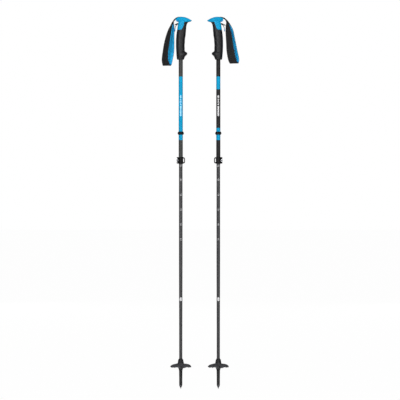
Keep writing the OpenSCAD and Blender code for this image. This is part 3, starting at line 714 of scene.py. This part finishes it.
# u, v, z, turn of the width direction in degrees, width, then how u and z move per mm of swing
STRAP = np.array([
    [-20.2, 0, 1220.3, 90, 15, -0.66, -0.36], [-16.4, 0, 1222.6, 90, 15, -0.3, -0.1],
    [-11.6, 0, 1224.6, 90, 15, 0, 0], [-6.5, 0, 1225.72, 90, 15, 0, 0],
    [-1.6, 0, 1227.2, 90, 15, 0, 0], [2.3, 0, 1229.5, 90, 15, 0, 0],
    [4.3, 0, 1232.2, 90, 15, 0, 0], [4.88, 0, 1235.3, 90, 15, 0, 0],
    [4.2, 0, 1238.6, 90, 15, 0, 0], [1.75, 0, 1241.4, 90, 15, 0, 0],
    [-1.8, 0, 1243.6, 90, 15, 0, 0], [-6.5, 0, 1244.5, 90, 15, 0, 0],
    [-12.7, 0, 1242.75, 90, 15, 0, 0.18], [-17.9, 0, 1239.35, 90, 15, -0.21, 0.44],
    [-21.6, 0.2, 1234.8, 90, 15, -0.42, 0.54], [-24.3, 1.2, 1229.4, 102, 15, -0.72, 0.3],
    [-27, 5.4, 1220, 131, 16, -0.66, 0], [-28.2, 9.5, 1210, 142, 17.4, -0.66, 0],
    [-29.5, 13, 1200, 151, 19.4, -0.6, 0], [-31.8, 17.5, 1182, 155, 22.4, -0.62, 0],
    [-32.8, 20.5, 1157, 153, 25, -0.9, 0.02], [-35.6, 20, 1131, 165, 27, -0.96, 0.06],
    [-40.5, 15.5, 1106, 174, 27, -0.95, 0.2], [-43.8, 8, 1090, 176, 27, -1.2, 1.1],
    [-46.5, 0, 1084.2, 170, 27, -1.4, 1.5], [-49.4, -8, 1088.4, 158, 26.5, -1.4, 1.3],
    [-52.8, -14.5, 1103, 144, 26, -1.3, 0.5], [-51, -19.5, 1128, 137, 25.6, -1, 0.1],
    [-46.8, -19.5, 1155, 138, 25, -0.84, 0], [-42, -16, 1180, 137, 22, -1, 0],
    [-36.8, -10.5, 1202, 130, 18.6, -1.5, 0], [-31.5, -5.4, 1218, 115, 16, -1.5, 0],
    [-28, -1.6, 1229.8, 98, 15.4, -0.95, 0.1], [-23.4, -0.2, 1236.05, 90, 15, -0.42, 0.54],
    [-19.1, 0, 1240.7, 90, 15, -0.21, 0.44], [-13.2, 0, 1244.5, 90, 15, 0, 0.18],
    [-6.6, 0, 1246.25, 90, 15, 0, 0], [-1.2, 0, 1245.3, 90, 15, 0, 0],
    [3, 0, 1242.7, 90, 15, 0, 0], [5.8, 0, 1239.2, 90, 15, 0, 0],
    [6.6, 0, 1235.2, 90, 15, 0, 0], [5.8, 0, 1231.2, 90, 15, 0, 0],
    [3.2, 0, 1227.8, 90, 15, 0, 0], [-1, 0, 1225.4, 90, 15, 0, 0],
    [-6, 0, 1223.95, 90, 15, 0, 0], [-11, 0, 1222.8, 90, 15, 0, 0],
    [-15, 0, 1219.4, 90, 15, -0.2, 0], [-18, 0, 1212.4, 90, 15, -0.3, 0],
    [-19.2, 0, 1205.4, 90, 15, -0.3, 0], [-19.6, 0, 1199, 90, 15, -0.3, 0]], float)
LOOP_FIRST, LOOP_LAST = 15, 32       # stations between which the lining lies
WEB_HALF = 1.5 / 2                   # half the webbing's thickness
LINING_THICK = 1.4
LINING_TOP = -(WEB_HALF + 0.12)      # offsets from the middle of the webbing
LINING_BOTTOM = -(WEB_HALF + 0.12 + LINING_THICK)
STITCH_RADIUS = 0.22
TAIL_FOLD = 8.5                      # length of the folded end of the tail


def strap_stations(swing):
    stations = STRAP[:, :5].copy()
    stations[:, 0] += swing * STRAP[:, 5]
    stations[:, 2] += swing * STRAP[:, 6]
    return stations


def strap_path(stations, first, last, steps):
    """Catmull-Rom curve through the stations from first to last."""
    out = []
    for i in range(first, last):
        a, b, c = stations[max(0, i - 1)], stations[i], stations[i + 1]
        d = stations[min(len(stations) - 1, i + 2)]
        for k in range(steps + (i == last - 1)):
            t = k / steps
            out.append(0.5 * (2 * b + (c - a) * t + (2 * a - 5 * b + 4 * c - d) * t * t
                              + (3 * b - a - 3 * c + d) * t**3))
    return np.array(out)


def path_frames(path):
    """Points, width directions, outward directions and lengths along a strap path."""
    points = path[:, :3]
    tangent = np.empty_like(points)
    tangent[1:-1] = points[2:] - points[:-2]
    tangent[0], tangent[-1] = points[1] - points[0], points[-1] - points[-2]
    tangent /= np.linalg.norm(tangent, axis=1)[:, None]
    turn = np.radians(path[:, 3])
    wide = np.stack([np.cos(turn), np.sin(turn), np.zeros_like(turn)], 1)
    wide -= (wide * tangent).sum(1)[:, None] * tangent
    wide /= np.linalg.norm(wide, axis=1)[:, None]
    out = np.cross(tangent, wide)
    gaps = np.linalg.norm(np.diff(points, axis=0), axis=1)
    return points, wide, out, np.concatenate([[0], np.cumsum(gaps)])


def strip_profile(cols=14):
    """Columns: share of the flat half width, share of the edge rounding, height from 0 to 1."""
    quarters = [math.pi / 4 * k for k in range(1, 4)]
    return np.array(
        [(-1 + 2 * k / cols, 0.0, 1.0) for k in range(cols + 1)]
        + [(1, math.sin(g), 0.5 + 0.5 * math.cos(g)) for g in quarters]
        + [(1 - 2 * k / cols, 0.0, 0.0) for k in range(cols + 1)]
        + [(-1, -math.sin(g), 0.5 - 0.5 * math.cos(g)) for g in quarters])


def strip(path, lo, hi, shrink=0.0, pillow=0.0, round_ends=(0.0, 0.0), edge=0.5):
    """A flat strip with rounded edges, swept along a path. Returns verts, faces, uv in mm.

    It lies between the offsets lo and hi. Shrink narrows each side, pillow swells both faces,
    and round_ends are the corner radii at the start and the end.
    """
    points, wide, out, along = path_frames(path)
    half = path[:, 4] / 2 - shrink
    profile = strip_profile()
    puff = pillow * np.where(profile[:, 2] > 0.5, 1, -1) * (1 - profile[:, 0] ** 4)
    y = lo + profile[:, 2] * (hi - lo) + puff
    rings, uv = [], []
    for i in range(len(points)):
        scale = 1.0
        for r, d in zip(round_ends, (along[i], along[-1] - along[i])):
            if r > 0 and d < r:
                scale = min(scale, 1 - (r - math.sqrt(max(0, r * r - (r - d) ** 2))) / half[i])
        flat = max(half[i] * scale, 0.6) - edge
        x = profile[:, 0] * flat + profile[:, 1] * edge
        rings.append(points[i] + x[:, None] * wide[i] + y[:, None] * out[i])
        uv.append(np.stack([x, np.full_like(x, along[i])], 1))
    verts, faces = skin(rings)
    uv = np.vstack(uv + [uv[0][:1] * 0, uv[-1][:1] * [0, 1]])
    return verts, faces, uv


def stitch(a, b, normal, r=STITCH_RADIUS, flat=0.55, around=6):
    """A short flattened thread from a to b, lying on a surface with this normal."""
    d = b - a
    length = np.linalg.norm(d)
    d /= length
    normal = normal - (normal @ d) * d
    normal /= np.linalg.norm(normal)
    across = np.cross(d, normal)
    rings = []
    # place along the thread in radii, share of the full radius
    for place, k in ((-0.45, 0.35), (-0.2, 0.8), (0.3, 1.0), (length / r - 0.3, 1.0),
                     (length / r + 0.2, 0.8), (length / r + 0.45, 0.35)):
        centre = a + d * place * r
        rings.append(np.array([
            centre + r * k * (math.cos(g) * across + flat * math.sin(g) * normal)
            for g in np.linspace(0, 2 * math.pi, around, endpoint=False)]))
    return skin(rings)


def stitches(path, offset, across, pitch=3.2, length=2.2, start=0.0, stop=None):
    """A row of stitches on the face at this offset. across turns the width into a distance
    from the strip's middle."""
    points, wide, out, along = path_frames(path)
    stop = along[-1] if stop is None else stop
    face_side = 1 if offset > 0 else -1
    row = []
    at = start + pitch / 2
    while at + length < stop:
        ends = []
        for place in (at, at + length):
            i = min(np.searchsorted(along, place), len(along) - 1)
            j = max(i - 1, 0)
            f = 0 if i == j else (place - along[j]) / (along[i] - along[j])

            def mixed(values):
                return values[j] * (1 - f) + values[i] * f

            ends.append((mixed(points) + mixed(wide) * across(mixed(path[:, 4]))
                         + mixed(out) * offset, mixed(out) * face_side))
        row.append(stitch(ends[0][0], ends[1][0], ends[0][1]))
        at += pitch
    return row


def make_strap_stitches(side, loop, loop_length):
    """Seams along both edges of the lined part, and box stitching at its ends."""
    offset = WEB_HALF + 0.02
    rows = []
    for k in (-1, 1):
        rows += stitches(loop, offset, lambda width: k * (width / 2 - 2.6), start=3)
    for start in (1.5, loop_length - 9.5):
        for place in (-6, -2, 2, 6):
            rows += stitches(loop, offset, lambda width: place, pitch=2.6, length=1.9,
                             start=start, stop=start + 8)
    verts, faces = join(rows)
    build(side, "strap_stitches", "upper", MAT["thread"], verts, faces,
          sharp=80, recalc=False)


def make_lining_stitches(side, loop, loop_length):
    rows = []
    for k in (-1, 1):
        rows += stitches(loop, LINING_BOTTOM - 0.06, lambda width: k * (width / 2 - 3.1),
                         start=6, stop=loop_length - 6)
    verts, faces = join(rows)
    build(side, "lining_stitches", "upper", MAT["thread_blue"], verts, faces,
          sharp=80, recalc=False)


def make_strap_tail(side, stations):
    """The folded and sewn end of the free tail."""
    last = len(stations) - 1
    path = strap_path(stations, last - 2, last, 12)
    along = path_frames(path)[3]
    path = path[along > along[-1] - TAIL_FOLD]
    verts, faces, uv = strip(path, -WEB_HALF - 0.5, WEB_HALF + 0.5, shrink=-0.25,
                             round_ends=(0, 2.2), edge=0.6)
    build(side, "strap_tail_end", "upper", MAT["tail"], verts, faces, uv=uv,
          sharp=60)


def make_strap(side):
    stations = strap_stations(STRAP_SWING[side])
    path = strap_path(stations, 0, len(stations) - 1, 9)
    verts, faces, uv = strip(path, -WEB_HALF, WEB_HALF, pillow=0.05, round_ends=(2.2, 2.2))
    build(side, "strap_webbing_woven", "upper", MAT["webbing"], verts, faces,
          "strap_webbing", uv=uv, sharp=60)
    loop = strap_path(stations, LOOP_FIRST, LOOP_LAST, 15)[9:-9]
    verts, faces, uv = strip(loop, LINING_BOTTOM, LINING_TOP, shrink=0.2, pillow=0.2,
                             round_ends=(5, 5), edge=0.6)
    build(side, "strap_lining_padded", "upper", MAT["lining"], verts, faces,
          "strap_lining", uv=uv, sharp=60)
    loop_length = path_frames(loop)[3][-1]
    make_strap_stitches(side, loop, loop_length)
    make_lining_stitches(side, loop, loop_length)
    make_strap_tail(side, stations)


# --------------------------------------------------------- tubes and ring
# Profiles are (radius, z) or (radius, z, rounding) corners.

UPPER_TUBE = [(UPPER_OUTER, UPPER_MOUTH), (UPPER_OUTER, UPPER_TOP),
              (UPPER_INNER, UPPER_TOP), (UPPER_INNER, UPPER_MOUTH)]
LOWER_SURFACE = [(5.0, 99.4, 0.1), (5.3, 100.4, 0.1), (5.35, 200, 6), (6.0, 430, 6),
                 (6.0, LOWER_TOP, 0.2)]
LOWER_TUBE = [(4.2, 70, 0.2), (5.0, 70, 0.2)] + LOWER_SURFACE \
    + [(5.2, LOWER_TOP, 0.2), (5.2, 430, 4), (4.2, 200, 4)]
GUIDE_PLUG = [(3, 826), (5.15, 826), (5.15, 842.05), (6.03, 842.05), (6.03, 847),
              (5.2, 848.4), (3, 848.4)]
MOUTH_BUSHING = [(6.06, 753.4), (6.9, 753.4), (6.9, 757.15), (6.06, 757.15)]
RING_MIDDLE = 857
# lower half of the shaft ring, with z from its middle
RING_LOWER = [(7.05, -5.25, 0.1), (7.9, -5.25, 0.5), (8.5, -4.9, 0.7), (9.6, -2.9, 1.2),
              (10.4, -1.5, 1.2), (10.8, 0, 1.2)]


def upper_radius(z):
    return UPPER_OUTER


def lower_radius(z):
    return float(np.interp(z, [row[1] for row in LOWER_SURFACE],
                           [row[0] for row in LOWER_SURFACE]))


def make_tubes(side):
    verts, faces = revolve(fillet(UPPER_TUBE, cut=0.25, steps=3), 96)
    build(side, "upper_tube_painted", "upper", upper_tube_material(side),
          verts, faces, "upper_tube", sharp=50)
    verts, faces = revolve(fillet(LOWER_TUBE), 88)
    build(side, "lower_tube_anodised", "lower",
          lower_tube_material(side), verts, faces, "lower_tube", sharp=50)
    verts, faces = revolve(fillet(GUIDE_PLUG, cut=0.2, steps=3), 64)
    build(side, "tube_guide_plug", "lower", MAT["bushing"], verts, faces,
          "tube_guide")
    verts, faces = revolve(fillet(MOUTH_BUSHING, cut=0.25, steps=3), 80)
    build(side, "mouth_bushing_ring", "upper", MAT["bushing"], verts, faces,
          "mouth_bushing")


def make_ring(side):
    upper = [(r, -z, cut) for r, z, cut in reversed(RING_LOWER[:-1])]
    profile = [(r, RING_MIDDLE + z, cut) for r, z, cut in RING_LOWER + upper]
    verts, faces = revolve(fillet(profile, steps=5), 112)
    build(side, "shaft_ring_rubber", "upper", MAT["ring"], verts, faces,
          "shaft_ring", sharp=60)


# --------------------------------------------------------- basket and tip
# Profiles are (radius, z, rounding) corners.

HUB = [(6.5, 66.2, 0.2), (7.4, 66.2, 0.4), (8.6, 70, 1.5), (10.2, 79, 3), (10.5, 86, 2),
       (9.6, 91, 2), (8.8, 95, 1.5), (8.5, 97.9, 0.5), (6.5, 97.9, 0.2)]
RIB = [(8.8, 73, 0.2), (8.8, 84.2, 0.2), (14, 82.4, 0.5), (22, 80.2, 0.5), (29.4, 77, 0.5),
       (30, 75.6, 0.4), (21, 75.6, 3)]
# (radius, z) along the top of a lobe's middle
DISH = [[8.4, 85.4], [12, 84.2], [16, 83.6], [22, 82.6], [27, 81.2], [31, 79.4], [35.2, 76.0]]
DISH_INNER = 8.6
DISH_THICK = 2.6
LOBES = 6
LOBE_PITCH = 2 * math.pi / LOBES
LOBE_TURN = math.radians(8)
LOBE_HALF = math.radians(25.6)       # half the angle a lobe spans
LOBE_ROOT = 19.4                     # radius of the rim between lobes
LOBE_TIP = DISH[-1][0]
FERRULE = [(0, 36.2, 0), (2.55, 36.2, 0.05), (2.55, 13.1, 0.2), (5.35, 13.1, 0.35),
           (5.35, 34, 5), (5.75, 62.4, 3), (6.7, 63.2, 0.4), (6.7, 65.2, 0.4), (6.4, 65.9, 0.2),
           (6.4, 98.3, 0.2), (6.9, 98.5, 0.2), (6.9, 99.8, 0.5), (5.75, 101.2, 1.2),
           (0, 101.2, 0)]
TIP = [(0, 0, 0), (0.55, 0.12, 0.2), (0.85, 0.8, 0.3), (1.75, 4, 1.0), (3.5, 6.8, 0.8),
       (4.8, 9.6, 0.4), (5.1, 10.4, 0.3), (5.1, 13.0, 0.25), (2.5, 13.0, 0.1), (2.5, 36, 0.2),
       (0, 36, 0)]


def hub_flutes(r, z, t):
    """Twelve narrow grooves down the hub, fading out at both ends."""
    fade = float(step(70, 74, z) * (1 - step(92, 96, z)))
    return r - 0.35 * fade * (0.5 + 0.5 * math.cos(12 * t)) ** 6


def tip_flutes(r, z, t):
    """Eight hollows round the cone of the tip."""
    fade = float(step(3.6, 5, z) * (1 - step(8.6, 9.5, z)))
    return r * (1 - 0.12 * fade * (0.5 + 0.5 * math.cos(8 * t)) ** 2)


def basket_dish(columns_per_lobe=34):
    spread = np.sin(np.linspace(-math.pi / 2, math.pi / 2, columns_per_lobe))
    angles, share = [], []               # share runs from -1 to 1 across each lobe
    for k in range(LOBES):
        middle = LOBE_PITCH * k + LOBE_TURN
        for s in spread:
            angles.append(middle + s * LOBE_HALF)
            share.append(s)
        angles.append(middle + LOBE_PITCH / 2)
        share.append(1.0)
    angles, share = np.array(angles), np.array(share)
    rim = LOBE_ROOT + (LOBE_TIP - LOBE_ROOT) \
        * np.maximum(0, 1 - np.abs(share) ** 4.2) ** (1 / 2.7)
    top, bottom = [], []
    # t runs from the hub to the rim
    for t in np.concatenate([np.linspace(0, 0.9, 22), [0.94, 0.965, 0.985, 1.0]]):
        r = DISH_INNER + (rim - DISH_INNER) * t
        camber = -7.4 * np.abs(share) ** 1.9 * np.clip((r - 11) / 17, 0, 1)
        ridge = 0.35 * np.exp(-(share / 0.10) ** 2) * np.clip((r - 11) / 6, 0, 1) \
            * np.clip((33 - r) / 3, 0, 1)
        z = curve(r, DISH) + camber
        edge = max(0.0, (t - 0.9) / 0.1)
        fall = 0.8 * (1 - math.sqrt(max(0, 1 - edge**2)))    # rounds the rim
        thick = DISH_THICK * (1 - 0.12 * t)
        x, y = r * np.cos(angles), r * np.sin(angles)
        top.append(np.stack([x, y, z + ridge - fall], 1))
        bottom.append(np.stack([x, y, z - thick + fall], 1))
    rings = top + bottom[::-1]
    n = len(angles)
    faces = []
    for k in range(len(rings)):
        faces += band(k * n, (k + 1) % len(rings) * n, n)
    return np.vstack(rings), faces


def basket_rib(angle):
    """An upright web under a lobe, its outer faces slightly smaller than its core."""
    profile = fillet(RIB, steps=3)
    middle = np.mean(profile, 0)
    rings = []
    for y, scale in ((-0.9, 0.97), (-0.75, 1.0), (0.75, 1.0), (0.9, 0.97)):
        ring = []
        for p in profile:
            r, z = middle + (p - middle) * scale
            ring.append([r * math.cos(angle) - y * math.sin(angle),
                         r * math.sin(angle) + y * math.cos(angle), z])
        rings.append(np.array(ring))
    return skin(rings)


def make_basket(side):
    hub = revolve(fillet(HUB, steps=5), 144, hub_flutes)
    ribs = [basket_rib(LOBE_PITCH * k + LOBE_TURN) for k in range(LOBES)]
    verts, faces = join([hub, basket_dish()] + ribs)
    build(side, "basket_moulded", "basket_body", MAT["basket"], verts, faces,
          "basket", sharp=48)


def make_tip(side):
    verts, faces = revolve(fillet(FERRULE), 88)
    build(side, "tip_ferrule_moulded", "lower", MAT["ferrule"], verts, faces,
          "tip_ferrule")
    verts, faces = revolve(fillet(TIP), 96, tip_flutes)
    build(side, "tip_carbide", "lower", MAT["tip"], verts, faces, "tip")


# ---------------------------------------------------------- printed marks

STRIPES = [(914, 948.4), (951.2, 956.2), (959.6, 964.2), (966.6, 970.6), (974, 984)]
MARKS = [(749.4, "125"), (702, "120"), (652, "115"), (602, "110"), (552, "105"), (502, "100")]
NUMERAL_SIZE = 5.6
NUMERAL_CUT = 0.6        # spacing of the cuts that let the numerals bend


def patch(centre, z0, z1, width, radius, lift=0.035, corner=0.8, cols=9):
    """A thin curved plate on a tube, with rounded corners, its middle at the angle centre."""
    rise = corner * (1 - np.cos(np.linspace(0.35, math.pi / 2, 5)))
    heights = np.concatenate([
        [z0], z0 + rise,
        np.linspace(z0 + corner + 0.5, z1 - corner - 0.5, max(2, int((z1 - z0) / 4))),
        z1 - rise[::-1], [z1]])
    rings = []
    for z in heights:
        d = min(z - z0, z1 - z)
        cut = 0.0 if d >= corner else corner - math.sqrt(max(0, corner**2 - (corner - d) ** 2))
        half = width / 2 - cut * 0.999
        angles = centre + np.linspace(-half, half, cols) / radius(z)
        rings.append(np.vstack([
            np.stack([r * np.cos(a), r * np.sin(a), np.full(cols, z)], 1)
            for r, a in ((radius(z) + lift, angles), (radius(z) - 0.02, angles[::-1]))]))
    return skin(rings)


def glyphs(text):
    """Numerals as flat closed meshes: x to the right, y up, in millimetres."""
    font = bpy.data.curves.new("numerals", "FONT")
    font.body = text
    font.size = NUMERAL_SIZE
    font.align_x = "CENTER"
    font.align_y = "CENTER"
    font.resolution_u = 3
    font.extrude = 0.03
    ob = add_object("numerals", font)
    mesh = evaluated_mesh(ob)
    bpy.data.objects.remove(ob)
    bpy.data.curves.remove(font)
    bm = bmesh.new()
    bm.from_mesh(mesh)
    bmesh.ops.remove_doubles(bm, verts=bm.verts, dist=1e-5)
    xs = [v.co.x for v in bm.verts]
    x = math.floor(min(xs) / NUMERAL_CUT) * NUMERAL_CUT
    while x < max(xs):
        geom = bm.verts[:] + bm.edges[:] + bm.faces[:]
        bmesh.ops.bisect_plane(bm, geom=geom, plane_co=(x, 0, 0), plane_no=(1, 0, 0))
        x += NUMERAL_CUT
    verts = np.array([v.co[:] for v in bm.verts])
    bm.verts.index_update()
    faces = [[v.index for v in f.verts] for f in bm.faces]
    bm.free()
    bpy.data.meshes.remove(mesh)
    return verts, faces


def wrap(verts, centre, z, radius, lift=0.02):
    """Bends flat marks round a tube."""
    x, y, depth = verts.T
    surface = np.array([radius(z + height) for height in y])
    r = surface + lift + depth * 0.5
    angle = centre + x / surface
    return np.stack([r * np.cos(angle), r * np.sin(angle), z + y], 1)


NUMERALS = {text: glyphs(text) for _, text in MARKS}


def make_marks(side):
    for centre, ink, tag in ((MINUS_V, "ink_blue", "a"), (PLUS_V, "ink", "b")):
        verts, faces = join([patch(centre, z0, z1, 5.2, upper_radius) for z0, z1 in STRIPES])
        build(side, "shaft_stripe_" + tag, "upper", MAT[ink], verts, faces)
    parts = []
    for centre in (MINUS_V, PLUS_V):
        for z, text in MARKS:
            verts, faces = NUMERALS[text]
            parts.append((wrap(verts, centre, z, lower_radius), faces))
            # a bar under the numeral
            parts.append(patch(centre, z - 4.2, z - 3.4, width=7.4, radius=lower_radius,
                               lift=0.03, corner=0.3))
        # a rounded plate further down the tube
        parts.append(patch(centre, 294.6, 306.4, width=8.2, radius=lower_radius, lift=0.03,
                           corner=3.2))
    verts, faces = join(parts)
    build(side, "length_marks", "lower", MAT["ink"], verts, faces)


# -------------------------------------------- CAD solids with rounded edges

# piece, slot, material, rounding of its edges
HARDWARE = [
    ("strap_wedge", "head_plastic", "wedge", 0.6),
    ("strap_pin", "hardware_steel", "pin", 0.2),
    ("lock_collar", "lock_plastic", "lock", 0.35),
    ("lock_barrel", "hardware_steel", "steel", 0.15),
    ("lock_screw", "hardware_steel", "screw", 0.3),
    ("cam_washer", "hardware_steel", "steel", 0.12),
    ("lock_lever", "lever_plastic", "lever", 0.35),
]


def body_of(node):
    """The moving body that a CAD piece belongs to."""
    bodies = frame["record"]["behaviour"]["bodies"]
    return next(body for body, nodes in bodies.items() if node in nodes)


def refine(node, material, rounding):
    """A copy of a CAD solid with its hard edges rounded."""
    name = node + "_finished"
    bm = bmesh.new()
    bm.from_mesh(frame["nodes"][node].data)
    bmesh.ops.remove_doubles(bm, verts=bm.verts, dist=1e-6)
    bmesh.ops.dissolve_limit(bm, angle_limit=math.radians(0.6), verts=bm.verts, edges=bm.edges)
    mesh = bpy.data.meshes.new(name)
    bm.to_mesh(mesh)
    bm.free()
    mesh.materials.append(material)
    ob = add_object(name, mesh)
    mod = ob.modifiers.new("edges", "BEVEL")
    mod.width = rounding * MM
    mod.segments = 2
    mod.limit_method = "ANGLE"
    mod.angle_limit = math.radians(32)
    mod.use_clamp_overlap = True
    apply_modifiers(ob)
    shade_smooth(ob.data, 30)
    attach(ob, body_of(node))
    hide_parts(node)


head_shape = None
for side in TURN:
    make_grip(side)
    head_shape = make_head(side, head_shape)
    make_strap(side)
    make_tubes(side)
    make_ring(side)
    make_basket(side)
    make_tip(side)
    make_marks(side)
    for part, slot, material, rounding in HARDWARE:
        refine(side + "_" + part, MAT[material], rounding)


# ----------------------------------------------------------------- studio

def empty_tree(owner):
    owner.use_nodes = True
    owner.node_tree.nodes.clear()
    return owner.node_tree


def make_world():
    """Plain white to the camera, and a faint white fill for everything else."""
    world = bpy.data.worlds.new("studio")
    bpy.context.scene.world = world
    tree = empty_tree(world)
    output = tree.nodes.new("ShaderNodeOutputWorld")
    mix = tree.nodes.new("ShaderNodeMixShader")
    light_path = tree.nodes.new("ShaderNodeLightPath")
    tree.links.new(light_path.outputs["Is Camera Ray"], mix.inputs[0])
    seen_strength, fill_strength = 1.0, 0.09
    for index, strength in ((2, seen_strength), (1, fill_strength)):
        background = tree.nodes.new("ShaderNodeBackground")
        background.inputs["Color"].default_value = (1, 1, 1, 1)
        background.inputs["Strength"].default_value = strength
        tree.links.new(background.outputs[0], mix.inputs[index])
    tree.links.new(mix.outputs[0], output.inputs["Surface"])


def area(name, at, aim, width, height, watts, glossy):
    """A rectangular light; glossy lets it show in reflections."""
    light = bpy.data.lights.new(name, "AREA")
    light.energy = watts
    light.shape = "RECTANGLE"
    light.size = width
    light.size_y = height
    ob = add_object(name, light)
    ob.location = at
    ob.rotation_euler = (Vector(aim) - Vector(at)).to_track_quat("-Z", "Y").to_euler()
    ob.visible_glossy = glossy


def floor_material():
    """Almost pure white to the camera, pale diffuse for the light."""
    mat = bpy.data.materials.new("pale_floor")
    tree = empty_tree(mat)
    output = tree.nodes.new("ShaderNodeOutputMaterial")
    diffuse = tree.nodes.new("ShaderNodeBsdfDiffuse")
    diffuse.inputs["Color"].default_value = (0.8, 0.8, 0.8, 1)
    glow = tree.nodes.new("ShaderNodeEmission")
    glow.inputs["Strength"].default_value = 1.0
    mix = tree.nodes.new("ShaderNodeMixShader")
    light_path = tree.nodes.new("ShaderNodeLightPath")
    glow_share = tree.nodes.new("ShaderNodeMath")
    glow_share.operation = "MULTIPLY"
    glow_share.inputs[1].default_value = 0.985
    tree.links.new(light_path.outputs["Is Camera Ray"], glow_share.inputs[0])
    tree.links.new(glow_share.outputs[0], mix.inputs[0])
    tree.links.new(diffuse.outputs[0], mix.inputs[1])
    tree.links.new(glow.outputs[0], mix.inputs[2])
    tree.links.new(mix.outputs[0], output.inputs["Surface"])
    return mat


def make_floor(reach=30, drop=0.0002):
    """A wide square, just below the tips."""
    mesh = bpy.data.meshes.new("studio_floor")
    corners = [(-reach, -reach, 0), (reach, -reach, 0), (reach, reach, 0), (-reach, reach, 0)]
    mesh.from_pydata(corners, [], [(0, 1, 2, 3)])
    floor = add_object("studio_floor", mesh)
    floor.location.z = -drop
    mesh.materials.append(floor_material())


def make_camera():
    """Looks level along +Y."""
    lens = bpy.data.cameras.new("camera")
    lens.type = "PERSP"
    lens.lens = 150
    lens.sensor_width = 36
    lens.clip_start = 0.05
    lens.clip_end = 200
    camera = add_object("camera", lens)
    camera.location = (0.0016, -5.592, 0.633)
    camera.rotation_euler = (math.pi / 2, 0, 0)
    bpy.context.scene.camera = camera


view = bpy.context.scene.view_settings
view.view_transform = "Standard"
view.look = "None"
view.exposure = 0.0
view.gamma = 1.0

make_world()
area("key_front", at=(-1.2, -4.4, 1.5), aim=(0, 0, 0.65), width=1.3, height=2.6, watts=125,
     glossy=True)
area("fill_front", at=(1.9, -4.0, 0.9), aim=(0, 0, 0.6), width=1.1, height=2.2, watts=60,
     glossy=True)
area("top", at=(0.2, -0.9, 3.6), aim=(0, 0, 0.7), width=1.6, height=1.6, watts=34,
     glossy=False)
area("back_left", at=(-1.5, 4.4, 1.5), aim=(0, 0, 0.6), width=1.4, height=2.4, watts=60,
     glossy=False)
area("back_right", at=(1.7, 4.2, 1.2), aim=(0, 0, 0.6), width=1.4, height=2.4, watts=50,
     glossy=False)
make_floor()
make_camera()
